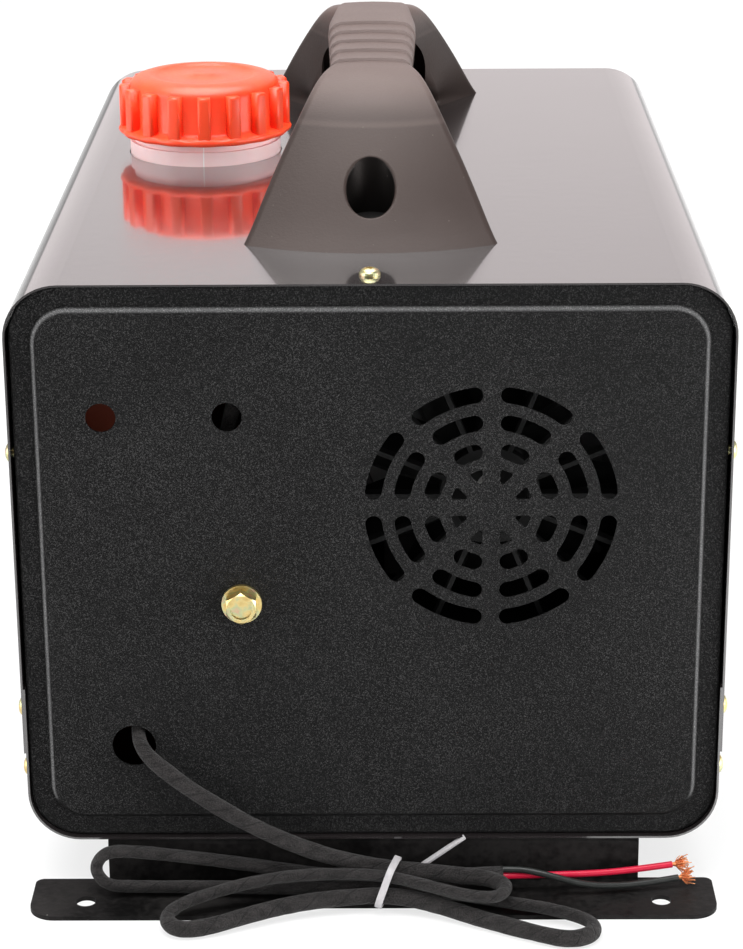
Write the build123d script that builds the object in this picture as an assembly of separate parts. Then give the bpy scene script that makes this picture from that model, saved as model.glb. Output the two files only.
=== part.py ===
from build123d import *
import math
import os

# Portable diesel air heater with its fuel tank in one steel case.
# Millimetres. Origin on the floor at the centre of the four base holes,
# +X to the right seen from the intake end, -Y out of the intake end, +Z up.

# ---- case and end panels ----
case_width = 240.0
case_height = 200.0
case_length = 348.0
case_corner_radius = 18.5
sheet = 0.7
leg_height = 18.5
seam_height = 33.0
tray_overlap = 24.0
sheet_gap = 0.15
panel_flange_depth = 20.0
panel_bend_radius = 1.1
panel_rim_recess = 2.2
field_start = 7.0
field_slope = 1.9
field_corner_radius = 12.5

case_bottom = leg_height
case_top = case_bottom + case_height
seam_z = case_bottom + seam_height
front_y = -case_length / 2
rear_y = case_length / 2
tray_width = case_width - 2 * sheet
panel_width = tray_width - 2 * sheet - 2 * sheet_gap
panel_bottom = case_bottom + sheet + sheet_gap
panel_top = case_top - sheet - sheet_gap
panel_corner_radius = case_corner_radius - 2 * sheet - sheet_gap
rim_y = rear_y - panel_rim_recess
field_y = rear_y

# ---- screws that hold the case ----
screw_inset = 11.0
side_screw_heights = (139.0, 46.0)
tray_screw_height = 23.3
screw_shank_radius = 1.6
screw_head_radius = 3.6
screw_head_height = 2.0
screw_length = 7.0
screw_head_round = 1.3
screw_hole_clearance = 0.2
cut_through = 1.0

# ---- holes and grille of the intake panel, from the case bottom and centre line ----
sight_hole_radius = 5.0
tank_sight_hole = (-89.0, 154.6)
wire_sight_hole = (-47.4, 154.7)
cable_hole = (-81.9, 35.9)
cable_hole_radius = 7.5
pump_bolt_place = (-43.8, 88.7)
grille_x = 40.0
grille_drop = 77.3
grille_spoke_width = 5.8
grille_slot_width = 5.6
grille_outer_radii = (42.4, 32.8, 23.0)
grille_spokes = 8
grille_chord = 13.7
grille_corner_radius = 0.8

# ---- base brackets ----
bracket_sheet = 1.6
bracket_bend_radius = 2.6
bracket_setback = 1.5
bracket_web_inset = 27.5
bracket_top_flange = 40.0
rivet_edge = 8.0
foot_inset = 1.75
foot_reach = 24.3
foot_rear_overlap = 3.0
foot_recess_half_width = 33.0
foot_recess_depth = 8.2
foot_front_radius = 9.0
foot_rear_radius = 3.0
mount_hole_radius = 3.5
mount_hole_inset = 20.7
mount_hole_reach = 13.5
rivet_spacing = 70.0
rivet_radius = 2.0
rivet_head_radius = 3.6
rivet_head_height = 1.0
rivet_clearance = 0.1

# ---- carrying handle ----
handle_foot_front = 136.4
handle_foot_corner = 124.4
handle_foot_back = 96.8
handle_foot_half_width = 44.4
handle_foot_back_half_width = 27.0
handle_grip_height = 55.1
handle_grip_width = 30.0
handle_grip_thickness = 21.0
grip_terraces = 5
grip_top_half_length = 8.7
terrace_length = 12.0
terrace_rise = 1.1
terrace_widening = 0.45
terrace_corner_radius = 5.8
terrace_corner_change = 0.4
handle_grip_half_length = grip_top_half_length + (grip_terraces - 1) * terrace_length
grip_corner_round = 4.2
grip_bow = 0.8
grip_taper = 2.0
foot_corner_round = 3.0
# sections of the leg: outer edge along Y and its height, half widths outside and inside, depth, bow, rounding
leg_calf = (114.5, 19.5, 36.1, 25.0, 34.0, 8.0, 3.5)
leg_knee = (95.5, 35.3, 28.5, 22.0, 29.0, 5.0, 4.0)
leg_shoulder = (78.0, 45.0, 22.8, 18.5, 23.0, 2.6, 4.2)
leg_neck = (67.5, 48.4, 19.4, 16.5, 21.5, 1.6, 4.2)
handle_wall = 3.2
handle_arch_half_width = 21.0
handle_arch_height = 41.0
handle_channel_width = 18.0
handle_channel_roof = 7.0
handle_channel_overrun = 16.0
handle_hole_y = 115.2
handle_hole_radius = 8.2
handle_boss_wall = 2.3
handle_rim_round = 1.2
handle_floor = 4.0
handle_screw_radius = 3.0
handle_screw_head_radius = 6.0
handle_screw_head_height = 3.6
handle_nut_radius = 5.8
handle_nut_height = 5.0

# ---- filler neck and cap ----
neck_x = -65.0
neck_y = 19.0
neck_collar_radius = 29.1
neck_collar_height = 5.3
neck_ring_radius = 27.8
neck_visible_height = 8.3
neck_thread_radius = 26.4
neck_bore_radius = 23.6
neck_hole_clearance = 0.4
cap_height = 24.5
cap_skirt_radius = 29.0
cap_bore_clearance = 0.5
cap_roof = 2.6
cap_flange_radius = 33.45
cap_flange_height = 3.0
cap_rib_count = 17
cap_rib_turn = -86.8
cap_rib_width = 5.0
cap_rib_height = 15.6
cap_rib_radius = 32.85
cap_rib_round = 1.2
cap_shoulder_round = 3.0
cap_flange_round = 1.4
cap_recess_radius = 19.0
cap_recess_depth = 0.8
seal_thickness = 2.0

# ---- fuel tank ----
tank_wall = 2.5
tank_round = 12.0
tank_pad_thickness = 3.0
tank_pad_width = 22.0
tank_pad_edge = 2.0
tank_pad_places = (-30.0, 110.0)
tank_side_gap = 4.0
tank_right = -26.0
tank_front = -60.0
tank_rear = 140.0
tank_headroom = 11.0
nose_right = -63.0
nose_front = -157.0
nose_bottom = 34.0
fuel_fitting_z = 44.0

# ---- heater unit ----
jacket_width = 115.0
jacket_height = 118.0
jacket_corner_radius = 22.0
jacket_wall = 2.2
jacket_front = -158.0
jacket_rear = 118.0
guard_depth = 5.0
guard_ribs = 16
hood_length = 34.0
duct_radius = 37.5
duct_wall = 1.6
duct_length = 24.0
duct_flange_radius = 45.0
duct_flange = 2.0
duct_clearance = 0.6
motor_radius = 20.0
motor_front = -128.0
motor_rear = -96.5
shaft_radius = 4.0
running_gap = 0.05
fan_front = -150.0
fan_rear = -131.0
fan_radius = 46.0
fan_hub_radius = 17.0
fan_blades = 9
fan_blade_thickness = 1.8
fan_root_pitch = 52.0
fan_tip_pitch = 30.0
blower_front = -96.0
blower_rear = -42.0
wheel_depth = 12.0
wheel_blades = 12
chamber_clearance = 1.5
chamber_wall = 7.5
burner_flange = 10.0
burner_radius = 22.0
burner_wall = 2.0
burner_length = 90.0
exchanger_step = 4.0
exchanger_wall = 4.0
exchanger_round = 16.0
exchanger_rear = 106.0
exchanger_flange = 6.0
fin_count = 16
fin_thickness = 2.4
fin_gap = 1.0
plug_radius = 2.5
control_width = 64.0
control_depth = 46.0
control_height = 11.0
control_gap = 1.3
control_seat_gap = 0.5
foot_seat = 3.0
gasket_thickness = 2.0
gasket_width = 84.0
gasket_length = 140.0
gasket_corner_radius = 6.0
air_stub_radius = 12.5
air_stub_y = -70.0
exhaust_stub_radius = 12.0
exhaust_stub_y = 6.0
stub_wall = 1.5
stub_clearance = 1.5
stub_floor_gap = 3.0
platform_sheet = 1.6
platform_margin = 6.5
platform_front = -100.0
platform_rear = 60.0
platform_foot = 14.0

# ---- fuel pump, filter and lines ----
pump_y = -150.0
pump_radius = 14.0
pump_length = 60.0
pump_bore_radius = 4.0
plunger_length = 22.0
plunger_travel = 3.0
spring_turns = 4
spring_length = 11.0
spring_wire_radius = 0.5
pump_nipple_radius = 2.4
pump_nipple_length = 17.0
clamp_wall = 4.0
clamp_height = 20.0
clamp_pad = 9.0
clamp_gap = 0.05
bolt_radius = 3.0
bolt_flat = 10.0
bolt_head_height = 4.6
bolt_dish_rim = 1.4
bolt_dish_depth = 0.7
bolt_corner_cone = 0.9
bolt_flange_radius = 6.8
bolt_flange_height = 1.4
bolt_length = 10.0
hose_radius = 3.5
filter_radius = 7.5
filter_length = 26.0
filter_round = 2.0
fitting_length = 20.0
fuel_pipe_radius = 2.2
fuel_pipe_end = (18.0, -12.0)
fuel_pipe_hole_clearance = 1.5

# ---- control panel on the outlet end ----
keypad_gap = 7.0
keypad_height = 140.0
keypad_width = 84.0
keypad_tall = 62.0
keypad_bezel = 4.0
keypad_lip = 5.0
keypad_edge_round = 1.5
keypad_depth = 24.0
keypad_corner_radius = 6.0
keypad_cutout_gap = 0.5
screen_width = 56.0
screen_tall = 28.0
screen_thickness = 1.5
screen_rise = 12.0
button_width = 13.0
button_tall = 8.0
button_corner_radius = 2.0
button_pitch = 19.0
button_drop = 17.0
button_proud = 1.2
button_depth = 7.0
button_travel = 1.0
button_gap = 0.3
button_edge_round = 0.8
gauge_slot_inset = 16.0
gauge_slot_width = 6.0
gauge_slot_length = 90.0
gauge_slot_height = 100.0

# ---- wiring harness ----
harness_radius = 2.6
harness_hole_radius = 6.0
lead_radius = 1.15
strand_radius = 0.25
strands_per_lead = 9
copper_core_radius = 0.7
copper_core_length = 1.2
tie_centre = (5.5, -186.0, 8.7)
tie_lean_back = 0.25
tie_lean_side = 0.3
tie_width = 2.2
tie_thickness = 0.9
tie_clearance = 0.6
tie_head_centre = (6.5, -174.9, 4.7)
tie_head_size = (4.6, 3.0, 4.6)
tie_head_round = 0.5
tie_tail_start = (7.0, -175.6, 5.4)
tie_tail_end = (28.4, -175.3, 17.7)
strand_length = 8.0
strand_lean = 0.35

blower_radius = jacket_height / 2 - jacket_wall - control_gap - control_height - control_seat_gap
wheel_radius = blower_radius - chamber_wall - chamber_clearance
exchanger_radius = blower_radius - exchanger_step
hub_x = grille_x
hub_z = case_top - grille_drop
pump_x = pump_bolt_place[0]
pump_mid_z = case_bottom + pump_bolt_place[1]
foot_y = rear_y + foot_reach
platform_half_width = case_width / 2 - case_corner_radius - platform_margin - hub_x
keypad_x = hub_x - duct_flange_radius - keypad_gap - keypad_width / 2
keypad_z = case_bottom + keypad_height
tray_floor = case_bottom + sheet


# ---------------------------------------------------------------- helpers
def facing_front(y=0.0):
    """Plane across the case at y: local x is X, local y is Z, normal towards -Y."""
    return Plane(origin=(0, y, 0), x_dir=(1, 0, 0), z_dir=(0, -1, 0))


def along_y(sketch, y_from, y_to):
    """The sketch, drawn in X and Z, made solid from y_from to y_to."""
    return extrude(facing_front(y_to) * sketch, amount=y_to - y_from)


def along_z(sketch, z_from, z_to):
    """The sketch, drawn in X and Y, made solid from z_from to z_to."""
    return extrude(Pos(0, 0, z_from) * sketch, amount=z_to - z_from)


def block(x_from, x_to, y_from, y_to, z_from, z_to):
    """A box between its limits."""
    middle = ((x_from + x_to) / 2, (y_from + y_to) / 2, (z_from + z_to) / 2)
    return Pos(*middle) * Box(x_to - x_from, y_to - y_from, z_to - z_from)


def bar_y(radius, y_from, y_to, x, z):
    """A round bar along Y."""
    return along_y(Pos(x, z) * Circle(radius), y_from, y_to)


def bar_z(radius, z_from, z_to, x, y):
    """A round bar along Z."""
    return along_z(Pos(x, y) * Circle(radius), z_from, z_to)


def bar_x(radius, x_from, x_to, y, z):
    """A round bar along X."""
    start = Plane(origin=(x_from, y, z), x_dir=(0, 1, 0), z_dir=(1, 0, 0))
    return extrude(start * Circle(radius), amount=x_to - x_from)


def joined(pieces):
    """One shape out of pieces that touch or overlap."""
    return Part() + list(pieces)


def group(pieces):
    """Like pieces that stay separate solids in one node."""
    return Compound(children=[solid for piece in pieces for solid in piece.solids()])


# ---------------------------------------------------------------- steel case
def case_outline(width, bottom, top, radius):
    """Rounded outline of the case seen from the end, at any inset."""
    return Pos(0, (bottom + top) / 2) * RectangleRounded(width, top - bottom, radius)


def case_shell(width, bottom, top, radius):
    """Open tube of sheet steel, the full length of the case."""
    outer = case_outline(width, bottom, top, radius)
    inner = case_outline(width - 2 * sheet, bottom + sheet, top - sheet, radius - sheet)
    return along_y(outer - inner, front_y, rear_y)


def screw_places():
    """Place and outward direction of each case screw: top, sides, then tray."""
    places = []
    for end in (front_y + screw_inset, rear_y - screw_inset):
        places.append(((0, end, case_top), (0, 0, 1)))
        for side in (-1, 1):
            for height in side_screw_heights:
                places.append(((side * case_width / 2, end, case_bottom + height), (side, 0, 0)))
            tray_place = (side * tray_width / 2, end, case_bottom + tray_screw_height)
            places.append((tray_place, (side, 0, 0)))
    return places


def screw_holes():
    """Clearance holes for the case screws, through cover, tray and panel flanges."""
    hole = Circle(screw_shank_radius + screw_hole_clearance)
    holes = []
    for place, out in screw_places():
        seat = Plane(origin=place, z_dir=out)
        holes.append(extrude(seat * hole, amount=-screw_length) + extrude(seat * hole, amount=cut_through))
    return holes


def pan_screw(place, out):
    """Pan head screw with a round shank."""
    seat = Plane(origin=place, z_dir=out)
    head = extrude(seat * Circle(screw_head_radius), amount=screw_head_height)
    head = fillet(head.edges().sort_by(Axis(place, out))[-1:], screw_head_round)
    shank = extrude(seat * Circle(screw_shank_radius), amount=-screw_length)
    return head + shank


def make_case_screws():
    return group(pan_screw(place, out) for place, out in screw_places())


def neck_opening():
    """Round hole in the cover for the filler neck."""
    radius = neck_collar_radius + neck_hole_clearance
    return bar_z(radius, case_top - 2 * sheet, case_top + sheet, neck_x, neck_y)


def make_upper_cover():
    shell = case_shell(case_width, case_bottom, case_top, case_corner_radius)
    reach = case_width
    cover = shell & block(-reach, reach, front_y, rear_y, seam_z, case_top + sheet)
    cover -= neck_opening()
    for side in (-1, 1):
        hole_radius = handle_screw_radius + screw_hole_clearance
        cover -= bar_z(hole_radius, case_top - 2 * sheet, case_top + 1, 0, side * handle_hole_y)
    return cover - screw_holes()


def rivet_places():
    """Rivets that fix each base bracket under the tray."""
    row_y = rear_y - bracket_setback - bracket_top_flange + rivet_edge
    places = []
    for side in (-1, 1):
        for step in (-1, 0, 1):
            places.append((step * rivet_spacing, side * row_y))
    return places


def make_lower_tray():
    shell = case_shell(tray_width, case_bottom, case_top, case_corner_radius - sheet)
    tray = shell & block(-case_width, case_width, front_y, rear_y, 0, seam_z + tray_overlap)
    for stub_y, radius in ((air_stub_y, air_stub_radius), (exhaust_stub_y, exhaust_stub_radius)):
        tray -= bar_z(radius + stub_clearance, case_bottom - 1, tray_floor + 1, hub_x, stub_y)
    for x, y in rivet_places():
        tray -= bar_z(rivet_radius + rivet_clearance, case_bottom - 1, tray_floor + 1, x, y)
    return tray - screw_holes()


# ---------------------------------------------------------------- end panels
def panel_outline(inset):
    """Outline of an end panel, drawn in by the inset."""
    radius = panel_corner_radius - inset
    return case_outline(panel_width - 2 * inset, panel_bottom + inset, panel_top - inset, radius)


def field_outline(slope):
    """Outline of the raised field, at its foot or drawn in by the slope."""
    inset = field_start + slope
    radius = field_corner_radius - slope
    return case_outline(panel_width - 2 * inset, panel_bottom + inset, panel_top - inset, radius)


def raised_field(shift):
    """The pressed field that stands out of the panel's rim, at the outlet end."""
    foot = Plane(origin=(0, rim_y + shift, 0), x_dir=(1, 0, 0), z_dir=(0, -1, 0))
    crown = Plane(origin=(0, field_y + shift, 0), x_dir=(1, 0, 0), z_dir=(0, -1, 0))
    wide = foot * field_outline(0)
    narrow = crown * field_outline(field_slope)
    return loft([wide.faces()[0], narrow.faces()[0]], ruled=True)


def end_pan():
    """Pressed steel pan for the outlet end: rim, raised field and a turned-in flange."""
    pan = along_y(panel_outline(0), rear_y - panel_flange_depth, rim_y)
    pan = fillet(pan.faces().sort_by(Axis.Y)[-1].edges(), panel_bend_radius)
    inside = along_y(panel_outline(sheet), rear_y - panel_flange_depth, rim_y - sheet)
    return pan + raised_field(0) - inside - raised_field(-sheet)


def slot_ring(outer_radius):
    """One ring of round-ended arc slots between the spokes."""
    middle = outer_radius - grille_slot_width / 2
    half_land = (grille_spoke_width + grille_slot_width) / 2
    start = math.degrees(math.asin(half_land / middle))
    sweep_angle = 360 / grille_spokes - 2 * start
    arc = CenterArc((0, 0), middle, start, sweep_angle)
    slot = SlotArc(arc, grille_slot_width)
    return [Rot(0, 0, index * 360 / grille_spokes) * slot for index in range(grille_spokes)]


def grille_triangles():
    """The ring of triangles between the spokes, round the grille's centre."""
    half_step = math.pi / grille_spokes
    tip = grille_spoke_width / 2 / math.sin(half_step)
    half_chord = (grille_chord - tip) * math.tan(half_step)
    triangle = make_face(Polyline((tip, 0), (grille_chord, half_chord), (grille_chord, -half_chord), close=True))
    triangle = fillet(triangle.vertices(), grille_corner_radius)
    turns = [(index + 0.5) * 360 / grille_spokes for index in range(grille_spokes)]
    return [Rot(0, 0, turn) * triangle for turn in turns]


def grille_openings():
    """All the openings of the round intake grille, as cutters through the field."""
    shapes = grille_triangles()
    for outer_radius in grille_outer_radii:
        shapes += slot_ring(outer_radius)
    place = Pos(hub_x, hub_z)
    return [along_y(place * shape, front_y - 1, front_y + 2 * sheet) for shape in shapes]


def panel_hole(place, radius):
    """Round hole through the raised field of the intake panel."""
    return bar_y(radius, front_y - 1, front_y + 2 * sheet, place[0], case_bottom + place[1])


def make_intake_panel():
    panel = mirror(end_pan(), about=Plane.XZ)
    panel -= grille_openings()
    panel -= panel_hole(tank_sight_hole, sight_hole_radius)
    panel -= panel_hole(wire_sight_hole, sight_hole_radius)
    panel -= panel_hole(cable_hole, cable_hole_radius)
    panel -= panel_hole(pump_bolt_place, bolt_radius + screw_hole_clearance)
    return panel - screw_holes()


def make_outlet_panel():
    panel = end_pan()
    back = rear_y - 2 * sheet
    panel -= bar_y(duct_radius + duct_clearance, back, rear_y + 1, hub_x, hub_z)
    cutout = RectangleRounded(
        keypad_width - 2 * keypad_lip + 2 * keypad_cutout_gap,
        keypad_tall - 2 * keypad_lip + 2 * keypad_cutout_gap,
        keypad_corner_radius / 2,
    )
    panel -= along_y(Pos(keypad_x, keypad_z) * cutout, back, rear_y + 1)
    slot = SlotOverall(gauge_slot_length, gauge_slot_width, rotation=90)
    slot_x = gauge_slot_inset - case_width / 2
    panel -= along_y(Pos(slot_x, case_bottom + gauge_slot_height) * slot, back, rear_y + 1)
    return panel - screw_holes()


# ---------------------------------------------------------------- base brackets
def foot_plan():
    """Plan of the rear bracket's foot: two ears with a shallow recess between."""
    inner_y = rear_y - foot_rear_overlap
    recess_y = foot_y - foot_recess_depth
    half = case_width / 2 - foot_inset
    left = -half
    edge = foot_recess_half_width
    slant = foot_recess_depth
    outline = Polyline(
        (left, inner_y),
        (left, foot_y),
        (-edge - slant, foot_y),
        (-edge + slant, recess_y),
        (edge - slant, recess_y),
        (edge + slant, foot_y),
        (half, foot_y),
        (half, inner_y),
        close=True,
    )
    plan = make_face(outline)
    ears = [v for v in plan.vertices() if abs(v.X) > half - 1]
    plan = fillet([v for v in ears if v.Y > foot_y - 1], foot_front_radius)
    rear_ears = [v for v in plan.vertices() if abs(v.X) > half - 1 and v.Y < inner_y + 1]
    plan = fillet(rear_ears, foot_rear_radius)
    blends = [v for v in plan.vertices() if abs(v.X) < edge + 2 * slant]
    return fillet(blends, foot_front_radius)


def rear_bracket():
    """Z-shaped sheet bracket: flange under the case, web, and a foot on the floor."""
    web_y = rear_y - bracket_setback
    path = Polyline(
        (web_y - bracket_top_flange, leg_height),
        (web_y, leg_height),
        (web_y, bracket_sheet),
        (web_y + 2 * bracket_bend_radius, bracket_sheet),
        (web_y + 2 * bracket_bend_radius, 0),
        (web_y - bracket_sheet, 0),
        (web_y - bracket_sheet, leg_height - bracket_sheet),
        (web_y - bracket_top_flange, leg_height - bracket_sheet),
        close=True,
    )
    half_web = case_width / 2 - bracket_web_inset
    side = Plane(origin=(-half_web, 0, 0), x_dir=(0, 1, 0), z_dir=(1, 0, 0))
    strip = extrude(side * make_face(path), amount=2 * half_web)
    lengthwise = strip.edges().filter_by(Axis.X)
    outer_bend = [e for e in lengthwise if e.center().Y > web_y - 0.01 and e.center().Z > leg_height - 0.01]
    strip = fillet(outer_bend, bracket_bend_radius)
    foot = along_z(foot_plan(), 0, bracket_sheet)
    bracket = strip + foot
    for side_sign in (-1, 1):
        hole_x = side_sign * (case_width / 2 - mount_hole_inset)
        bracket -= bar_z(mount_hole_radius, -1, bracket_sheet + 1, hole_x, rear_y + mount_hole_reach)
    for x, y in rivet_places():
        if y > 0:
            bracket -= bar_z(rivet_radius + rivet_clearance, leg_height - 3, leg_height + 1, x, y)
    return bracket


def make_bracket_rivets():
    rivets = []
    for x, y in rivet_places():
        low = leg_height - bracket_sheet
        shank = bar_z(rivet_radius, low, tray_floor, x, y)
        upper_head = bar_z(rivet_head_radius, tray_floor, tray_floor + rivet_head_height, x, y)
        lower_head = bar_z(rivet_head_radius, low - rivet_head_height, low, x, y)
        rivets.append(shank + upper_head + lower_head)
    return group(rivets)


# ---------------------------------------------------------------- carrying handle
def handle_section(plane, front_half, back_half, depth, bow, radius):
    """Rounded four-sided section: bowed outer edge, tapering back to the inner edge."""
    outline = make_face(
        [
            ThreePointArc((-front_half, -bow), (0, 0), (front_half, -bow)),
            Line((front_half, -bow), (back_half, -depth)),
            Line((back_half, -depth), (-back_half, -depth)),
            Line((-back_half, -depth), (-front_half, -bow)),
        ]
    )
    return plane * fillet(outline.vertices(), radius)


def grip_end_height():
    """Height over the case where the grip's lowest terrace meets the leg."""
    return handle_grip_height - grip_terraces * terrace_rise


def leg_sections():
    """Sections of the rear leg from its foot up to the end of the grip."""
    foot_depth = handle_foot_front - handle_foot_back
    foot_bow = handle_foot_front - handle_foot_corner
    foot_halves = (handle_foot_half_width, handle_foot_back_half_width)
    grip_half = handle_grip_width / 2
    grip_end = (handle_grip_half_length, grip_end_height(), grip_half, grip_half - grip_taper)
    stations = (
        (0, (handle_foot_front, 0, *foot_halves, foot_depth, foot_bow, foot_corner_round)),
        (18, leg_calf),
        (40, leg_knee),
        (66, leg_shoulder),
        (79, leg_neck),
        (90, (*grip_end, handle_grip_thickness, grip_bow, grip_corner_round)),
    )
    sections = []
    for tilt, (y, height, front_half, back_half, deep, bow, radius) in stations:
        angle = math.radians(tilt)
        outward = (0, math.cos(angle), math.sin(angle))
        normal = Vector(1, 0, 0).cross(Vector(*outward))
        plane = Plane(origin=(0, y, case_top + height), x_dir=(1, 0, 0), z_dir=normal)
        sections.append(handle_section(plane, front_half, back_half, deep, bow, radius))
    return sections


def handle_leg():
    """Solid rear leg of the handle, lofted from foot to grip."""
    return loft([section.faces()[0] for section in leg_sections()])


def handle_grip():
    """The grip: short level lengths, each a small step higher and wider towards the middle."""
    pieces = []
    for step in range(grip_terraces):
        height = handle_grip_height - step * terrace_rise
        radius = terrace_corner_radius - step * terrace_corner_change
        half = handle_grip_width / 2 + (grip_terraces - 1 - step) * terrace_widening
        reach = grip_top_half_length + step * terrace_length
        drop = height - grip_end_height() + handle_grip_thickness
        section = handle_section(handle_plane(-reach, height), half, half - grip_taper, drop, grip_bow, radius)
        pieces.append(extrude(section, amount=-2 * reach))
    return joined(pieces)


def handle_plane(y, height):
    """Plane across the handle at y, its origin at a height over the case."""
    return Plane(origin=(0, y, case_top + height), x_dir=(1, 0, 0), z_dir=(0, -1, 0))


def handle_hollow():
    """Arched hollow of the rear leg, open towards the hand space and underneath."""
    inner = handle_grip_half_length - 10
    ceiling = leg_shoulder[1] - handle_wall
    side_profile = make_face(
        Polyline(
            (inner, -1),
            (handle_foot_front - 1.5 * handle_wall, -1),
            (leg_knee[0] - handle_wall, leg_knee[1] - handle_wall),
            (leg_shoulder[0] - handle_wall, ceiling),
            (inner, ceiling),
            close=True,
        )
    )
    half = handle_arch_half_width
    side = Plane(origin=(-half, 0, case_top), x_dir=(0, 1, 0), z_dir=(1, 0, 0))
    wedge = extrude(side * side_profile, amount=2 * half)
    spring = handle_arch_height - half
    arch = make_face(
        [
            Line((-half, -1), (half, -1)),
            Line((half, -1), (half, spring)),
            ThreePointArc((half, spring), (0, handle_arch_height), (-half, spring)),
            Line((-half, spring), (-half, -1)),
        ]
    )
    arch_bar = along_y(Pos(0, case_top) * arch, inner, handle_foot_front)
    return wedge & arch_bar


def grip_channel():
    """Channel along the underside of the grip."""
    low = case_top + grip_end_height() - handle_grip_thickness - 2
    high = case_top + grip_end_height() - handle_channel_roof
    half = handle_channel_width / 2
    reach = handle_grip_half_length + handle_channel_overrun
    return block(-half, half, -reach, reach, low, high)


def handle_post(skin, hole_y):
    """Wall round the screw well, as far as the leg's outer skin."""
    post_radius = handle_hole_radius + handle_boss_wall
    return bar_z(post_radius, case_top, case_top + handle_grip_height, 0, hole_y) & skin


def well_rim(body, hole_y):
    """Upper edge of a screw well, where it meets the sloping front of its leg."""
    reach = handle_hole_radius + 0.01
    above = case_top + handle_floor + 1
    near = block(-reach, reach, hole_y - reach, hole_y + reach, above, case_top + handle_grip_height)
    inside = near.bounding_box()
    rims = []
    for edge in body.edges():
        box = edge.bounding_box()
        held = box.min.X > inside.min.X and box.max.X < inside.max.X
        held = held and box.min.Y > inside.min.Y and box.max.Y < inside.max.Y
        if held and box.min.Z > above and not edge.geom_type == GeomType.LINE:
            rims.append(edge)
    return rims


def make_handle():
    leg = handle_leg()
    legs = [mirror(leg, about=Plane.XZ), leg]
    body = joined(legs + [handle_grip()])
    hollow = handle_hollow()
    body -= [hollow, mirror(hollow, about=Plane.XZ), grip_channel()]
    for side, skin in zip((-1, 1), legs):
        hole_y = side * handle_hole_y
        body += handle_post(skin, hole_y)
        body -= bar_z(handle_hole_radius, case_top + handle_floor, case_top + handle_grip_height, 0, hole_y)
        hole_radius = handle_screw_radius + screw_hole_clearance
        body -= bar_z(hole_radius, case_top - 1, case_top + handle_floor + 1, 0, hole_y)
        body = fillet(well_rim(body, hole_y), handle_rim_round)
    return body


def make_handle_screws():
    pieces = []
    for side in (-1, 1):
        y = side * handle_hole_y
        seat = case_top + handle_floor
        head = bar_z(handle_screw_head_radius, seat, seat + handle_screw_head_height, 0, y)
        tip = case_top - sheet - handle_nut_height - 2
        pieces.append(head + bar_z(handle_screw_radius, tip, seat, 0, y))
    return group(pieces)


def make_handle_nuts():
    pieces = []
    for side in (-1, 1):
        y = side * handle_hole_y
        hexagon = RegularPolygon(handle_nut_radius, 6) - Circle(handle_screw_radius + running_gap)
        low = case_top - sheet - handle_nut_height
        pieces.append(along_z(Pos(0, y) * hexagon, low, case_top - sheet))
    return group(pieces)


# ---------------------------------------------------------------- fuel tank and cap
def rounded_box(limits, inset, radius):
    """Box with all edges rounded, drawn in by the inset."""
    x_from, x_to, y_from, y_to, z_from, z_to = limits
    box = block(
        x_from + inset, x_to - inset, y_from + inset, y_to - inset, z_from + inset, z_to - inset
    )
    return fillet(box.edges(), radius - inset)


def tank_form(inset):
    """Main part of the tank with a narrow raised nose towards the intake end."""
    left = -tray_width / 2 + tank_side_gap
    top = case_top - tank_headroom
    main = (left, tank_right, tank_front, tank_rear, tray_floor + tank_pad_thickness, top)
    nose = (left, nose_right, nose_front, tank_front + 4 * tank_round, case_bottom + nose_bottom, top)
    return rounded_box(main, inset, tank_round) + rounded_box(nose, inset, tank_round)


def make_fuel_tank():
    top = case_top - tank_headroom
    rim = case_top + neck_visible_height + cap_height - cap_roof - seal_thickness
    collar_top = case_top + neck_collar_height
    neck = bar_z(neck_collar_radius, top - tank_wall, collar_top, neck_x, neck_y)
    neck += bar_z(neck_ring_radius, collar_top, case_top + neck_visible_height - sheet_gap, neck_x, neck_y)
    neck += bar_z(neck_thread_radius, collar_top, rim, neck_x, neck_y)
    tank = tank_form(0) + neck - tank_form(tank_wall)
    tank -= bar_z(neck_bore_radius, top - 2 * tank_wall, rim + 1, neck_x, neck_y)
    outlet = bar_y(pump_nipple_radius, tank_front - 1, tank_front + 2 * tank_wall, pump_x, fuel_fitting_z)
    return tank - outlet


def make_tank_pads():
    """Two foam strips between the tank and the tray's floor."""
    left = -tray_width / 2 + tank_side_gap + tank_round + tank_pad_edge
    right = tank_right - tank_round - tank_pad_edge
    half = tank_pad_width / 2
    top = tray_floor + tank_pad_thickness
    return group(block(left, right, y - half, y + half, tray_floor, top) for y in tank_pad_places)


def make_tank_fitting():
    """Barbed fuel outlet screwed into the tank's wall."""
    reach = tank_front - fitting_length
    gasket = bar_y(2.5 * pump_nipple_radius, tank_front - 3, tank_front, pump_x, fuel_fitting_z)
    stem = bar_y(pump_nipple_radius - clamp_gap, reach, tank_front + tank_wall, pump_x, fuel_fitting_z)
    bore = bar_y(pump_nipple_radius / 2, reach - 1, tank_front + tank_wall + 1, pump_x, fuel_fitting_z)
    return gasket + stem - bore


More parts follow.
